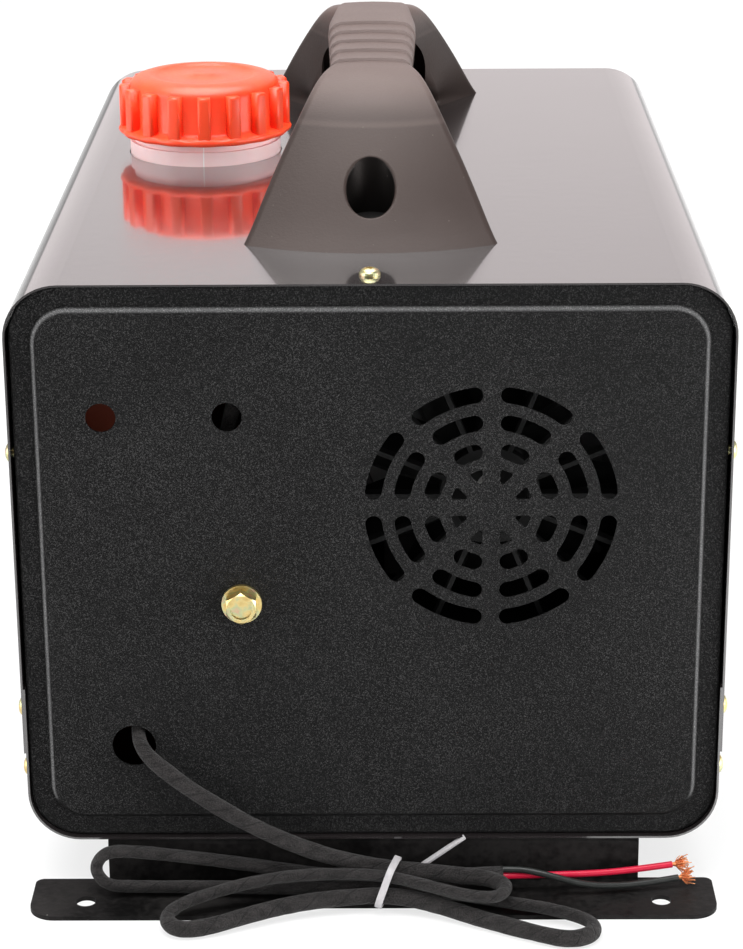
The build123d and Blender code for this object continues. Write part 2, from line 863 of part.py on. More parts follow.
def make_filler_cap():
    bottom = case_top + neck_visible_height
    top = bottom + cap_height
    body = bar_z(cap_skirt_radius, bottom, top, 0, 0)
    body = fillet(body.edges().sort_by(Axis.Z)[-1:], cap_shoulder_round)
    flange = bar_z(cap_flange_radius, bottom, bottom + cap_flange_height, 0, 0)
    flange = fillet(flange.edges().sort_by(Axis.Z)[-1:], cap_flange_round)
    half = cap_rib_width / 2
    rib_top = bottom + cap_flange_height + cap_rib_height
    rib = block(cap_skirt_radius - 2, cap_rib_radius, -half, half, bottom + 1, rib_top)
    outer_edges = [e for e in rib.edges() if e.center().X > cap_rib_radius - 0.1 and e.center().Z > bottom + 2]
    rib = fillet(outer_edges, cap_rib_round)
    turns = [cap_rib_turn + index * 360 / cap_rib_count for index in range(cap_rib_count)]
    ribs = [Rot(0, 0, turn) * rib for turn in turns]
    bore_radius = neck_thread_radius + cap_bore_clearance
    bore = bar_z(bore_radius, bottom - 1, top - cap_roof, 0, 0)
    recess = bar_z(cap_recess_radius, top - cap_recess_depth, top + 1, 0, 0)
    cap = joined([body, flange] + ribs) - bore - recess
    return Pos(neck_x, neck_y, 0) * cap


def make_cap_seal():
    rim = case_top + neck_visible_height + cap_height - cap_roof - seal_thickness
    ring = Circle(neck_thread_radius) - Circle(neck_bore_radius - 2)
    return along_z(Pos(neck_x, neck_y) * ring, rim, rim + seal_thickness)


# ---------------------------------------------------------------- heater unit
def jacket_outline(inset):
    return Pos(hub_x, hub_z) * RectangleRounded(
        jacket_width - 2 * inset, jacket_height - 2 * inset, jacket_corner_radius - inset
    )


def jacket_bottom():
    return hub_z - jacket_height / 2


def platform_top():
    return jacket_bottom() - gasket_thickness


def base_feet(inset):
    """Feet of blower and exchanger that pass through the jacket's floor."""
    half = platform_half_width - 19
    seats = ((blower_front + 6, blower_rear), (exhaust_stub_y - 24, exhaust_stub_y + 24))
    return [
        block(hub_x - half + inset, hub_x + half - inset, low + inset, high - inset, jacket_bottom(), hub_z - 30)
        for low, high in seats
    ]


def make_jacket_half(upper):
    tube = along_y(jacket_outline(0) - jacket_outline(jacket_wall), jacket_front, jacket_rear)
    half_top = (hub_z, hub_z + jacket_height) if upper else (hub_z - jacket_height, hub_z)
    half = tube & block(hub_x - jacket_width, hub_x + jacket_width, jacket_front, jacket_rear, *half_top)
    if not upper:
        half -= base_feet(-sheet)
    else:
        half -= bar_x(harness_hole_radius, hub_x - jacket_width, hub_x, control_y(), control_z())
    return half


def make_intake_guard():
    """Ribbed guard over the heater's own air inlet."""
    frame = jacket_outline(0) - Pos(hub_x, hub_z) * Circle(fan_radius + 3)
    rib = Pos((fan_radius + fan_hub_radius) / 2, 0) * Rectangle(fan_radius - fan_hub_radius + 8, 1.6)
    ribs = [Rot(0, 0, index * 360 / guard_ribs) * rib for index in range(guard_ribs)]
    hub = Circle(fan_hub_radius) - Circle(fan_hub_radius - 4)
    wheel = Pos(hub_x, hub_z) * (Sketch() + ribs + hub)
    return along_y(Sketch() + [frame, wheel], jacket_front - guard_depth, jacket_front)


def make_outlet_hood():
    """Hood that narrows from the jacket to the round warm-air duct."""
    end = jacket_rear + hood_length
    side = 2 * (duct_radius - duct_wall - duct_clearance)

    def hood_form(inset, overrun):
        wide = facing_front(jacket_rear - overrun) * jacket_outline(inset)
        width = side - 2 * inset
        round_end = Pos(hub_x, hub_z) * RectangleRounded(width, width, width / 2 - 0.01)
        return loft([wide.faces()[0], (facing_front(end + overrun) * round_end).faces()[0]], ruled=True)

    hood = hood_form(0, 0) - hood_form(jacket_wall, 0.01)
    spigot = Pos(hub_x, hub_z) * (Circle(side / 2) - Circle(side / 2 - jacket_wall))
    return hood + along_y(spigot, end - 0.5, rear_y + 4)


def make_duct_ring():
    """Round collar on the outlet panel that takes the warm-air hose."""
    centre = Pos(hub_x, hub_z)
    tube = Circle(duct_radius) - Circle(duct_radius - duct_wall)
    flange = Circle(duct_flange_radius) - Circle(duct_radius - duct_wall)
    ring = along_y(centre * tube, rear_y - 2, rear_y + duct_length)
    return ring + along_y(centre * flange, rear_y, rear_y + duct_flange)


def make_fan_motor():
    case = bar_y(motor_radius, motor_front, motor_rear, hub_x, hub_z)
    case = fillet(case.edges().sort_by(Axis.Y)[:1], 3)
    return case - bar_y(shaft_radius + running_gap, motor_front - 1, motor_rear + 1, hub_x, hub_z)


def make_rotor_shaft():
    return bar_y(shaft_radius, fan_front - 2, blower_rear - 2, hub_x, hub_z)


def blade_section(radius, pitch, chord):
    """Thin flat section of a fan blade at a radius, turned to its pitch."""
    plane = Plane(origin=(radius, 0, 0), x_dir=(0, 1, 0), z_dir=(1, 0, 0))
    return (plane * Rot(0, 0, pitch) * Rectangle(chord, fan_blade_thickness)).faces()[0]


def make_heating_fan():
    """Axial fan that draws room air over the heat exchanger."""
    depth = fan_rear - fan_front
    middle = (fan_front + fan_rear) / 2
    blade = loft(
        [
            blade_section(fan_hub_radius - 1, 90 - fan_root_pitch, depth),
            blade_section((fan_hub_radius + fan_radius) / 2, 90 - (fan_root_pitch + fan_tip_pitch) / 2, depth + 4),
            blade_section(fan_radius - 1, 90 - fan_tip_pitch, depth + 6),
        ],
        ruled=True,
    )
    blades = [Rot(0, 0, index * 360 / fan_blades) * blade for index in range(fan_blades)]
    hub = Cylinder(fan_hub_radius, depth + 4)
    hub = fillet(hub.edges().sort_by(Axis.Z)[-1:], 4)
    fan = joined([hub] + blades) - Cylinder(shaft_radius + running_gap, 3 * depth)
    return Pos(hub_x, middle, hub_z) * Rot(90, 0, 0) * fan


def wheel_rear():
    return blower_rear - chamber_clearance


def make_combustion_fan():
    """Small wheel that blows combustion air into the burner."""
    rear = wheel_rear() - 0.5
    front = rear - wheel_depth
    centre = Pos(hub_x, hub_z)
    disc = along_y(centre * Circle(wheel_radius), front, front + 4)
    hub = bar_y(2.2 * shaft_radius, front, rear, hub_x, hub_z)
    vane = Pos(wheel_radius - 9, 0) * Rectangle(16, 1.6)
    vanes = [
        along_y(centre * Rot(0, 0, index * 360 / wheel_blades) * vane, front, rear)
        for index in range(wheel_blades)
    ]
    bore = bar_y(shaft_radius + running_gap, front - 1, rear + 1, hub_x, hub_z)
    return joined([disc, hub] + vanes) - bore


def make_blower_housing():
    """Casting between motor and burner: fan chamber, board seat and foot."""
    body = bar_y(blower_radius, blower_front, blower_rear, hub_x, hub_z)
    foot = base_feet(0)[0]
    seat = block(hub_x - 25, hub_x + 25, blower_front + 2, blower_rear - 2, hub_z + 30, control_bottom())
    chamber_depth = wheel_depth + 2 * chamber_clearance
    chamber = bar_y(wheel_radius + chamber_clearance, blower_rear - chamber_depth, blower_rear + 1, hub_x, hub_z)
    bore = bar_y(shaft_radius + running_gap, blower_front - 1, blower_rear, hub_x, hub_z)
    return joined([body, foot, seat]) - chamber - bore


def make_burner():
    """Burner tube on its flange, closed at the flame plate."""
    flange_end = blower_rear + burner_flange
    flange = bar_y(blower_radius, blower_rear, flange_end, hub_x, hub_z)
    tube = bar_y(burner_radius, blower_rear, flange_end + burner_length, hub_x, hub_z)
    bore = bar_y(burner_radius - burner_wall, flange_end - 3, flange_end + burner_length + 1, hub_x, hub_z)
    plug_bore = bar_z(plug_radius + running_gap, hub_z + burner_radius + 3, hub_z + blower_radius + 1, hub_x, plug_y())
    return flange + tube - bore - plug_bore


def plug_y():
    return blower_rear + burner_flange / 2


def make_glow_plug():
    low = hub_z + burner_radius + 3
    stem = bar_z(plug_radius, low, hub_z + blower_radius + 6, hub_x, plug_y())
    return stem + bar_z(1.6 * plug_radius, hub_z + blower_radius, hub_z + blower_radius + 3, hub_x, plug_y())


def make_heat_exchanger():
    """Finned casting round the burner, closed at the outlet end."""
    front = blower_rear + burner_flange
    centre = Pos(hub_x, hub_z)
    body = bar_y(exchanger_radius, front, exchanger_rear, hub_x, hub_z)
    body = fillet(body.edges().sort_by(Axis.Y)[-1:], exchanger_round)
    flange = bar_y(blower_radius, front, front + exchanger_flange, hub_x, hub_z)
    fin_reach = max(jacket_width, jacket_height) / 2
    fin = Pos((exchanger_radius + fin_reach) / 2, 0) * Rectangle(fin_reach - exchanger_radius + 12, fin_thickness)
    fins = [
        along_y(centre * Rot(0, 0, (index + 0.5) * 360 / fin_count) * fin, front + 2 * exchanger_flange, exchanger_rear - 20)
        for index in range(fin_count)
    ]
    limit = along_y(jacket_outline(jacket_wall + fin_gap), front, exchanger_rear)
    foot = base_feet(0)[1]
    cavity = bar_y(exchanger_radius - exchanger_wall, front - 1, exchanger_rear - exchanger_wall, hub_x, hub_z)
    cavity = fillet(cavity.edges().sort_by(Axis.Y)[-1:], exchanger_round - exchanger_wall)
    return (joined([body, flange] + fins) & limit) + foot - cavity


def control_bottom():
    return hub_z + blower_radius + control_seat_gap


def control_y():
    return (blower_front + blower_rear) / 2


def control_z():
    return control_bottom() + control_height / 2


def make_control_unit():
    half = control_width / 2
    box = block(
        hub_x - half,
        hub_x + half,
        control_y() - control_depth / 2,
        control_y() + control_depth / 2,
        control_bottom(),
        control_bottom() + control_height,
    )
    return fillet(box.edges().filter_by(Axis.Z), 3)


def floor_passages():
    """Plan of the holes under the heater: air, exhaust and fuel."""
    passages = Pos(*fuel_pipe_end) * Circle(fuel_pipe_radius + fuel_pipe_hole_clearance)
    for y, radius in ((air_stub_y, air_stub_radius), (exhaust_stub_y, exhaust_stub_radius)):
        passages += Pos(hub_x, y) * Circle(radius + stub_clearance)
    return passages


def make_flange_gasket():
    middle_y = (air_stub_y + exhaust_stub_y) / 2
    plan = Pos(hub_x, middle_y) * RectangleRounded(gasket_width, gasket_length, gasket_corner_radius)
    return along_z(plan - floor_passages(), platform_top(), jacket_bottom())


def make_platform():
    """Bent sheet table that carries the heater over the tray's floor."""
    top = platform_top()
    left = hub_x - platform_half_width
    right = hub_x + platform_half_width
    plate = block(left, right, platform_front, platform_rear, top - platform_sheet, top)
    legs = []
    for x_from, x_to, foot_from, foot_to in (
        (left, left + platform_sheet, left, left + platform_foot),
        (right - platform_sheet, right, right - platform_foot, right),
    ):
        legs.append(block(x_from, x_to, platform_front, platform_rear, tray_floor, top))
        foot_top = tray_floor + platform_sheet
        legs.append(block(foot_from, foot_to, platform_front, platform_rear, tray_floor, foot_top))
    platform = joined([plate] + legs)
    return platform - along_z(floor_passages(), top - platform_sheet - cut_through, top + cut_through)


def make_stub(radius, y):
    ring = Pos(hub_x, y) * (Circle(radius) - Circle(radius - stub_wall))
    return along_z(ring, stub_floor_gap, jacket_bottom())


# ---------------------------------------------------------------- fuel pump and lines
def pump_bottom():
    return pump_mid_z - pump_length / 2


def pump_top():
    return pump_mid_z + pump_length / 2


def plunger_low():
    return pump_bottom() + 14


def make_pump_body():
    """Closed metering pump with a nipple at each end."""
    body = bar_z(pump_radius, pump_bottom(), pump_top(), pump_x, pump_y)
    body = chamfer(body.edges().group_by(Axis.Z)[0] + body.edges().group_by(Axis.Z)[-1], 2)
    low = bar_z(pump_nipple_radius, pump_bottom() - pump_nipple_length, pump_bottom() + 1, pump_x, pump_y)
    high = bar_z(pump_nipple_radius, pump_top() - 1, pump_top() + pump_nipple_length, pump_x, pump_y)
    cavity_top = plunger_low() + plunger_length + spring_length
    cavity = bar_z(pump_bore_radius + running_gap, plunger_low(), cavity_top, pump_x, pump_y)
    return joined([body, low, high]) - cavity


def make_pump_plunger():
    return bar_z(pump_bore_radius, plunger_low(), plunger_low() + plunger_length, pump_x, pump_y)


def make_pump_spring():
    """Return spring over the plunger, in the pump's closed bore."""
    start = plunger_low() + plunger_length + spring_wire_radius + 0.05
    height = spring_length - 2 * spring_wire_radius - 0.1
    radius = pump_bore_radius - 2 * spring_wire_radius
    coil = Helix(height / spring_turns, height, radius)
    wire = Plane(origin=coil @ 0, z_dir=coil % 0) * Circle(spring_wire_radius)
    return Pos(pump_x, pump_y, start) * sweep(wire, path=coil)


def make_pump_clamp():
    """Rubber-lined clamp that the panel bolt holds against the intake panel."""
    low = pump_mid_z - clamp_height / 2
    high = pump_mid_z + clamp_height / 2
    ring = bar_z(pump_radius + clamp_wall, low, high, pump_x, pump_y)
    pad = block(pump_x - clamp_pad, pump_x + clamp_pad, front_y + sheet, pump_y, low, high)
    bore = bar_z(pump_radius + clamp_gap, low - 1, high + 1, pump_x, pump_y)
    thread = bar_y(bolt_radius + running_gap, front_y, front_y + bolt_length + 0.5, pump_x, pump_mid_z)
    return ring + pad - bore - thread


def bolt_corner_rounding(head_y, face):
    """Cone that takes the six corners off the free end of the bolt's head."""
    widest = bolt_flat / 2 / math.cos(math.pi / 6)
    length = face - head_y
    cone = Cone(widest - bolt_corner_cone, widest + length - bolt_corner_cone, length)
    return Plane(origin=(pump_x, (face + head_y) / 2, pump_mid_z), x_dir=(1, 0, 0), z_dir=(0, 1, 0)) * cone


def make_pump_bolt():
    """Flanged hexagon bolt through the intake panel, its head bare."""
    face = front_y
    flange = bar_y(bolt_flange_radius, face - bolt_flange_height, face, pump_x, pump_mid_z)
    hexagon = RegularPolygon(bolt_flat / 2, 6, major_radius=False, rotation=30)
    head_y = face - bolt_flange_height - bolt_head_height
    head = along_y(Pos(pump_x, pump_mid_z) * hexagon, head_y, face - 1)
    head &= bolt_corner_rounding(head_y, face)
    dish = bar_y(bolt_flat / 2 - bolt_dish_rim, head_y - 1, head_y + bolt_dish_depth, pump_x, pump_mid_z)
    shank = bar_y(bolt_radius, face - 1, face + bolt_length, pump_x, pump_mid_z)
    return joined([flange, head, shank]) - dish


def tube_path(points):
    """Straight runs between the points, joined by tangent arcs."""
    points = [Vector(*p) for p in points]
    if len(points) == 2:
        return Wire([Line(*points).edge()])
    return Wire(FilletPolyline(*points, radius=corner_radii(points)).edges())


def tube(points, radius):
    """Round tube along straight runs joined by tangent arcs."""
    points = [Vector(*p) for p in points]
    start = Plane(origin=points[0], z_dir=points[1] - points[0])
    return sweep(start * Circle(radius), path=tube_path(points))


def corner_radii(points):
    """Bend radius at each inner point, as large as its two runs allow."""
    radii = []
    for before, corner, after in zip(points, points[1:], points[2:]):
        run_in = corner - before
        run_out = after - corner
        half_turn = math.radians(run_in.get_angle(run_out)) / 2
        radii.append(0.45 * min(run_in.length, run_out.length) / math.tan(half_turn))
    return radii


def filter_rear_y():
    return tank_front - fitting_length - 4


def filter_front_y():
    return filter_rear_y() - filter_length


def make_suction_hose():
    """Rubber hose from the tank's fitting to the filter, and on to the pump's lower nipple."""
    rear_end = tank_front - 4
    rear_piece = bar_y(hose_radius, filter_rear_y(), rear_end, pump_x, fuel_fitting_z)
    fitting_end = tank_front - fitting_length - 1
    fitting = bar_y(pump_nipple_radius, fitting_end, rear_end + 1, pump_x, fuel_fitting_z)
    corner = (pump_x, pump_y, fuel_fitting_z)
    front_piece = tube([(pump_x, filter_front_y(), fuel_fitting_z), corner, (pump_x, pump_y, pump_bottom())], hose_radius)
    nipple_end = pump_bottom() - pump_nipple_length - 1
    nipple = bar_z(pump_nipple_radius + clamp_gap, nipple_end, pump_bottom() + 1, pump_x, pump_y)
    return group([rear_piece - fitting, front_piece - nipple])


def make_fuel_filter():
    body = bar_y(filter_radius, filter_front_y(), filter_rear_y(), pump_x, fuel_fitting_z)
    return fillet(body.edges(), filter_round)


def fuel_pipe_points():
    """Route of the thin fuel pipe from the pump down beside the jacket to the burner."""
    top = pump_top() + pump_nipple_length
    gap_x = (tank_right + hub_x - jacket_width / 2) / 2
    low = platform_top() - 16
    return [
        (pump_x, pump_y, top),
        (pump_x, pump_y, top + 14),
        (pump_x + 8, pump_y + 3, top + 24),
        (gap_x - 5, pump_y + 9, top + 20),
        (gap_x, pump_y + 14, top),
        (gap_x, pump_y + 16, top - 40),
        (gap_x, pump_y + 17, low + 22),
        (gap_x + 1, pump_y + 20, low + 4),
        (gap_x + 12, pump_y + 32, low),
        (fuel_pipe_end[0] - 10, fuel_pipe_end[1] - 28, low),
        (*fuel_pipe_end, low),
        (*fuel_pipe_end, jacket_bottom()),
    ]


def make_fuel_pipe():
    return tube(fuel_pipe_points(), fuel_pipe_radius)


# ---------------------------------------------------------------- control panel
def button_places():
    """Centres of the four keys under the screen."""
    return [keypad_x + (index - 1.5) * button_pitch for index in range(4)]


def make_keypad_housing():
    """Flush control panel: bezel outside, body behind the cut-out, wells for the keys."""
    centre = Pos(keypad_x, keypad_z)
    bezel = along_y(
        centre * RectangleRounded(keypad_width, keypad_tall, keypad_corner_radius), rear_y, rear_y + keypad_bezel
    )
    bezel = fillet(bezel.faces().sort_by(Axis.Y)[-1].edges(), keypad_edge_round)
    inner = RectangleRounded(keypad_width - 2 * keypad_lip, keypad_tall - 2 * keypad_lip, keypad_corner_radius / 2)
    body = along_y(centre * inner, rear_y - keypad_depth, rear_y)
    face = rear_y + keypad_bezel
    well = RectangleRounded(button_width + 2 * button_gap, button_tall + 2 * button_gap, button_corner_radius)
    depth = button_depth - button_proud + button_travel + button_gap
    housing = bezel + body
    for x in button_places():
        housing -= along_y(Pos(x, keypad_z - button_drop) * well, face - depth, face + 1)
    screen = Rectangle(screen_width, screen_tall)
    housing -= along_y(Pos(keypad_x, keypad_z + screen_rise) * screen, face - screen_thickness, face + 1)
    return housing


def make_screen():
    face = rear_y + keypad_bezel
    plate = Rectangle(screen_width - 2 * running_gap, screen_tall - 2 * running_gap)
    return along_y(Pos(keypad_x, keypad_z + screen_rise) * plate, face - screen_thickness, face)


def make_button(x):
    face = rear_y + keypad_bezel + button_proud
    cap = RectangleRounded(button_width, button_tall, button_corner_radius)
    key = along_y(Pos(x, keypad_z - button_drop) * cap, face - button_depth, face)
    return fillet(key.faces().sort_by(Axis.Y)[-1].edges(), button_edge_round)


# ---------------------------------------------------------------- wiring harness
inner_harness_points = [
    (-80.5, -164.0, 75.0),
    (-80.5, -163.4, 84.5),
    (-78.5, -163.5, 98.0),
    (-72.0, -165.0, 118.0),
    (-60.0, -166.0, 140.0),
    (-49.0, -166.0, 160.0),
    (-45.0, -164.0, 178.0),
    (-36.0, -157.0, 190.0),
    (-26.0, -142.0, 192.0),
    (-24.0, -118.0, 192.0),
    (-23.0, -93.0, 191.8),
    (-20.0, -69.0, 191.2),
    (8.0, -69.0, 191.2),
]

harness_lead_points = [
    (-80.5, -164.0, 75.0),
    (-80.5, -164.6, 65.5),
    (-80.8, -173.0, 57.0),
    (-77.5, -179.2, 53.5),
    (-71.5, -181.0, 48.5),
    (-63.5, -181.3, 42.0),
    (-53.0, -181.5, 34.5),
    (-41.0, -181.8, 27.2),
    (-27.0, -182.1, 20.3),
    (-19.5, -182.25, 17.65),
]

harness_hank_points = [
    (-19.5, -182.25, 17.65),
    (-12.0, -182.4, 15.0),
    (3.0, -182.7, 12.0),
    (17.0, -184.0, 11.2),
    (31.0, -187.2, 11.0),
    (41.5, -189.6, 11.0),
    (46.2, -196.2, 10.8),
    (41.5, -202.8, 10.6),
    (31.0, -200.5, 10.6),
    (19.0, -194.5, 11.0),
    (5.0, -188.9, 12.0),
    (-12.0, -187.9, 12.3),
    (-29.0, -188.4, 11.8),
    (-44.0, -191.4, 10.4),
    (-56.0, -194.5, 8.2),
    (-66.0, -198.0, 6.2),
    (-71.0, -204.4, 4.5),
    (-66.5, -210.9, 3.1),
    (-56.0, -208.8, 3.1),
    (-43.0, -202.6, 4.2),
    (-28.0, -196.1, 5.0),
    (-12.0, -192.5, 5.4),
    (5.0, -191.9, 6.3),
    (20.0, -195.4, 5.0),
    (34.0, -202.0, 3.2),
    (48.0, -209.5, 3.1),
    (58.0, -214.9, 3.1),
    (66.5, -217.8, 3.1),
    (73.5, -214.6, 3.1),
    (75.5, -207.6, 3.1),
    (70.0, -202.2, 3.4),
    (59.0, -199.0, 4.9),
    (45.0, -194.8, 4.9),
    (31.0, -190.0, 4.9),
    (18.0, -186.9, 5.2),
    (5.0, -185.8, 6.3),
    (-13.0, -185.2, 5.3),
    (-33.0, -184.3, 4.9),
    (-54.0, -183.6, 4.9),
    (-72.0, -183.2, 4.9),
    (-84.0, -183.0, 4.9),
    (-92.6, -182.8, 5.2),
    (-97.0, -180.9, 10.9),
    (-93.0, -179.0, 16.4),
    (-84.0, -178.4, 16.2),
    (-67.0, -178.2, 14.2),
    (-44.0, -178.2, 11.0),
    (-20.0, -178.6, 7.0),
    (5.0, -179.7, 6.3),
    (26.0, -180.0, 7.5),
    (45.0, -180.2, 8.4),
]

red_lead_points = [
    (45.06, -180.2, 7.15),
    (52.09, -180.27, 7.48),
    (65.0, -179.7, 7.4),
    (79.0, -178.4, 7.3),
    (92.0, -176.8, 7.9),
    (104.0, -175.2, 8.9),
]

black_lead_points = [
    (44.94, -180.2, 9.65),
    (51.02, -180.26, 9.94),
    (60.5, -183.2, 9.1),
    (73.0, -183.6, 5.3),
    (86.0, -182.0, 4.2),
    (97.5, -179.8, 4.6),
    (106.0, -178.0, 5.2),
]


def tie_plane():
    """Plane of the cable tie, leaning a little across the bundle."""
    return Plane(origin=tie_centre, x_dir=(tie_lean_back, 1, 0), z_dir=(1, -tie_lean_back, -tie_lean_side))


def strand_crossings():
    """Where the passes of the hank cross the plane of the tie, in that plane."""
    path = tube_path(harness_hank_points)
    count = int(path.length)
    spots = [tie_plane().to_local_coords(path.position_at(index / count)) for index in range(count + 1)]
    crossings = []
    for one, other in zip(spots, spots[1:]):
        if one.Z * other.Z <= 0:
            share = one.Z / (one.Z - other.Z)
            crossings.append(one + (other - one) * share)
    return crossings


def tie_loop(crossings, radius):
    """Closed outline round the bundle at a distance from the strands' centres."""
    rounds = [Pos(spot.X, spot.Y) * Circle(radius) for spot in crossings]
    return make_hull([edge for one in rounds for edge in one.edges()])


def make_cable_tie():
    """Cable tie round the hank: band, head at the rear and the straight end of the strap."""
    inside = harness_radius + tie_clearance
    crossings = strand_crossings()
    loop = tie_loop(crossings, inside + tie_thickness) - tie_loop(crossings, inside)
    band = extrude(tie_plane() * loop, amount=tie_width / 2, both=True)
    head = Pos(*tie_head_centre) * Box(*tie_head_size)
    return joined([band, fillet(head.edges(), tie_head_round), tie_tail()])


def tie_tail():
    """Straight end of the strap, up and away behind the bundle."""
    low = Vector(*tie_tail_start)
    run = Vector(*tie_tail_end) - low
    across = run.cross(Vector(0, 1, 0))
    section = Plane(origin=low, x_dir=across, z_dir=run) * Rectangle(tie_width, tie_thickness)
    return extrude(section, amount=run.length)


def copper_end(points, spread, count):
    """Bare strands fanned out at the end of one lead."""
    tip = Vector(*points[-1])
    ahead = (tip - Vector(*points[-2])).normalized()
    core = extrude(Plane(origin=tip, z_dir=ahead) * Circle(copper_core_radius), amount=copper_core_length)
    strands = [core]
    for index in range(count):
        turn = math.radians(360 * index / count + spread)
        lean = Vector(0, math.cos(turn), math.sin(turn)) * (strand_lean if index else 0)
        root = tip + ahead * copper_core_length / 2 + lean
        end = tip + ahead * (strand_length - (index % 3)) + lean * strand_length
        strand = Plane(origin=root, z_dir=end - root) * Circle(strand_radius)
        strands.append(extrude(strand, amount=(end - root).length))
    return joined(strands)


def make_copper_ends():
    ends = ((red_lead_points, 20), (black_lead_points, 50))
    return group(copper_end(points, spread, strands_per_lead) for points, spread in ends)


def path_facts(name, points, radius):
    """Prints the bend radii and how the tube's volume compares with its length."""
    radii = corner_radii([Vector(*p) for p in points])
    length = tube_path(points).length
    ratio = tube(points, radius).volume / (math.pi * radius ** 2 * length)
    print(f"{name}: length {length:.1f}, bends {min(radii):.1f} to {max(radii):.1f}, volume over section {ratio:.4f}")
    print(f"{name}: bend radii {[round(value, 1) for value in radii]}")


def least_self_gap(points, radius):
    """Least gap between the hank's own passes, on points along its centreline."""
    path = tube_path(points)
    count = int(path.length)
    spots = [path.position_at(index / count) for index in range(count + 1)]
    apart = int(4 * radius) + 2
    gap = path.length
    for index, spot in enumerate(spots):
        for other in spots[index + apart :]:
            gap = min(gap, (other - spot).length - 2 * radius)
    return gap


def print_cord_facts():
    path_facts("inner harness", inner_harness_points, harness_radius)
    path_facts("harness lead", harness_lead_points, harness_radius)
    path_facts("harness hank", harness_hank_points, harness_radius)
    path_facts("red lead", red_lead_points, lead_radius)
    path_facts("black lead", black_lead_points, lead_radius)
    print(f"harness hank: least gap to itself {least_self_gap(harness_hank_points, harness_radius):.2f}")


def main():
    nodes = {
        "upper_cover": make_upper_cover(),
        "lower_tray": make_lower_tray(),
        "intake_end_panel": make_intake_panel(),
        "outlet_end_panel": make_outlet_panel(),
        "rear_base_bracket": rear_bracket(),
        "front_base_bracket": mirror(rear_bracket(), about=Plane.XZ),
        "bracket_rivets": make_bracket_rivets(),
        "case_screws": make_case_screws(),
        "carrying_handle": make_handle(),
        "handle_screws": make_handle_screws(),
        "handle_nuts": make_handle_nuts(),
        "fuel_tank": make_fuel_tank(),
        "tank_pads": make_tank_pads(),
        "tank_fitting": make_tank_fitting(),
        "filler_cap": make_filler_cap(),
        "cap_seal": make_cap_seal(),
        "jacket_cover": make_jacket_half(True),
        "jacket_base": make_jacket_half(False),
        "intake_guard": make_intake_guard(),
        "outlet_hood": make_outlet_hood(),
        "outlet_duct_ring": make_duct_ring(),
        "fan_motor": make_fan_motor(),
        "rotor_shaft": make_rotor_shaft(),
        "heating_fan": make_heating_fan(),
        "combustion_fan": make_combustion_fan(),
        "blower_housing": make_blower_housing(),
        "burner": make_burner(),
        "glow_plug": make_glow_plug(),
        "heat_exchanger": make_heat_exchanger(),
        "control_unit": make_control_unit(),
        "flange_gasket": make_flange_gasket(),
        "heater_platform": make_platform(),
        "combustion_air_stub": make_stub(air_stub_radius, air_stub_y),
        "exhaust_stub": make_stub(exhaust_stub_radius, exhaust_stub_y),
        "pump_body": make_pump_body(),
        "pump_plunger": make_pump_plunger(),
        "pump_spring": make_pump_spring(),
        "pump_clamp": make_pump_clamp(),
        "pump_bolt": make_pump_bolt(),
        "suction_hose": make_suction_hose(),
        "fuel_filter": make_fuel_filter(),
        "fuel_pipe": make_fuel_pipe(),
        "keypad_housing": make_keypad_housing(),
        "keypad_screen": make_screen(),
    }
    for name, x in zip(("power_button", "raise_button", "lower_button", "settings_button"), button_places()):
        nodes[name] = make_button(x)
    nodes["inner_harness"] = tube(inner_harness_points, harness_radius)
    nodes["harness_lead"] = tube(harness_lead_points, harness_radius)
    nodes["harness_hank"] = tube(harness_hank_points, harness_radius)
    nodes["red_lead"] = tube(red_lead_points, lead_radius)
    nodes["black_lead"] = tube(black_lead_points, lead_radius)
    nodes["cable_tie"] = make_cable_tie()
    nodes["copper_ends"] = make_copper_ends()
    print_cord_facts()
    os.makedirs("parts", exist_ok=True)
    for name, shape in nodes.items():
        export_step(shape, f"parts/{name}.step")


main()
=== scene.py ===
import bpy
import bmesh
import math
from mathutils import Matrix, Vector, geometry, noise


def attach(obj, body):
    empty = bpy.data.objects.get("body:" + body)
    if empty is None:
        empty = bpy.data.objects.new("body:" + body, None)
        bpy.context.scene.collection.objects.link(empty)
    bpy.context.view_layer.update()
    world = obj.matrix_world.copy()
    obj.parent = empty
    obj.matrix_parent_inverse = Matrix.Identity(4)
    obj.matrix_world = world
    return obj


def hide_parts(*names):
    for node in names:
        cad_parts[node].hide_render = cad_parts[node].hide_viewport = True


bpy.context.scene.view_settings.view_transform = "Standard"
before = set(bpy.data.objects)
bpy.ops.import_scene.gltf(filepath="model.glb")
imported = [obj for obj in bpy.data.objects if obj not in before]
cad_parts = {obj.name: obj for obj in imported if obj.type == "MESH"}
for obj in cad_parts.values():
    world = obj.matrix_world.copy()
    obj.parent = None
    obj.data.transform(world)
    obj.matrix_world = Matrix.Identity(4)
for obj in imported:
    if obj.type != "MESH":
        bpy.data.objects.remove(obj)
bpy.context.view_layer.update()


# ---------------------------------------------------------------- camera
# The heater is seen from its intake end, from a metre away and a little
# above, with a long lens close to square on to the panel. The focal length
# is in pixels of the photograph, as is its height.
eye = Vector((0.00757, -1.03991, 0.46317))
look_down = 0.3439
look_aside = -0.0085
roll = -0.0065
focal_length = 2774.93
photo_height = 949
ahead = Vector((
    math.sin(look_aside) * math.cos(look_down),
    math.cos(look_aside) * math.cos(look_down),
    -math.sin(look_down),
))
level = Vector((math.cos(look_aside), -math.sin(look_aside), 0))
upright = level.cross(ahead)
right = math.cos(roll) * level + math.sin(roll) * upright
upward = math.cos(roll) * upright - math.sin(roll) * level
lens = bpy.data.cameras.new("photo_camera")
lens.sensor_fit = "VERTICAL"
lens.sensor_height = 24
lens.lens = lens.sensor_height * focal_length / photo_height
lens.clip_end = 50
camera = bpy.data.objects.new("photo_camera", lens)


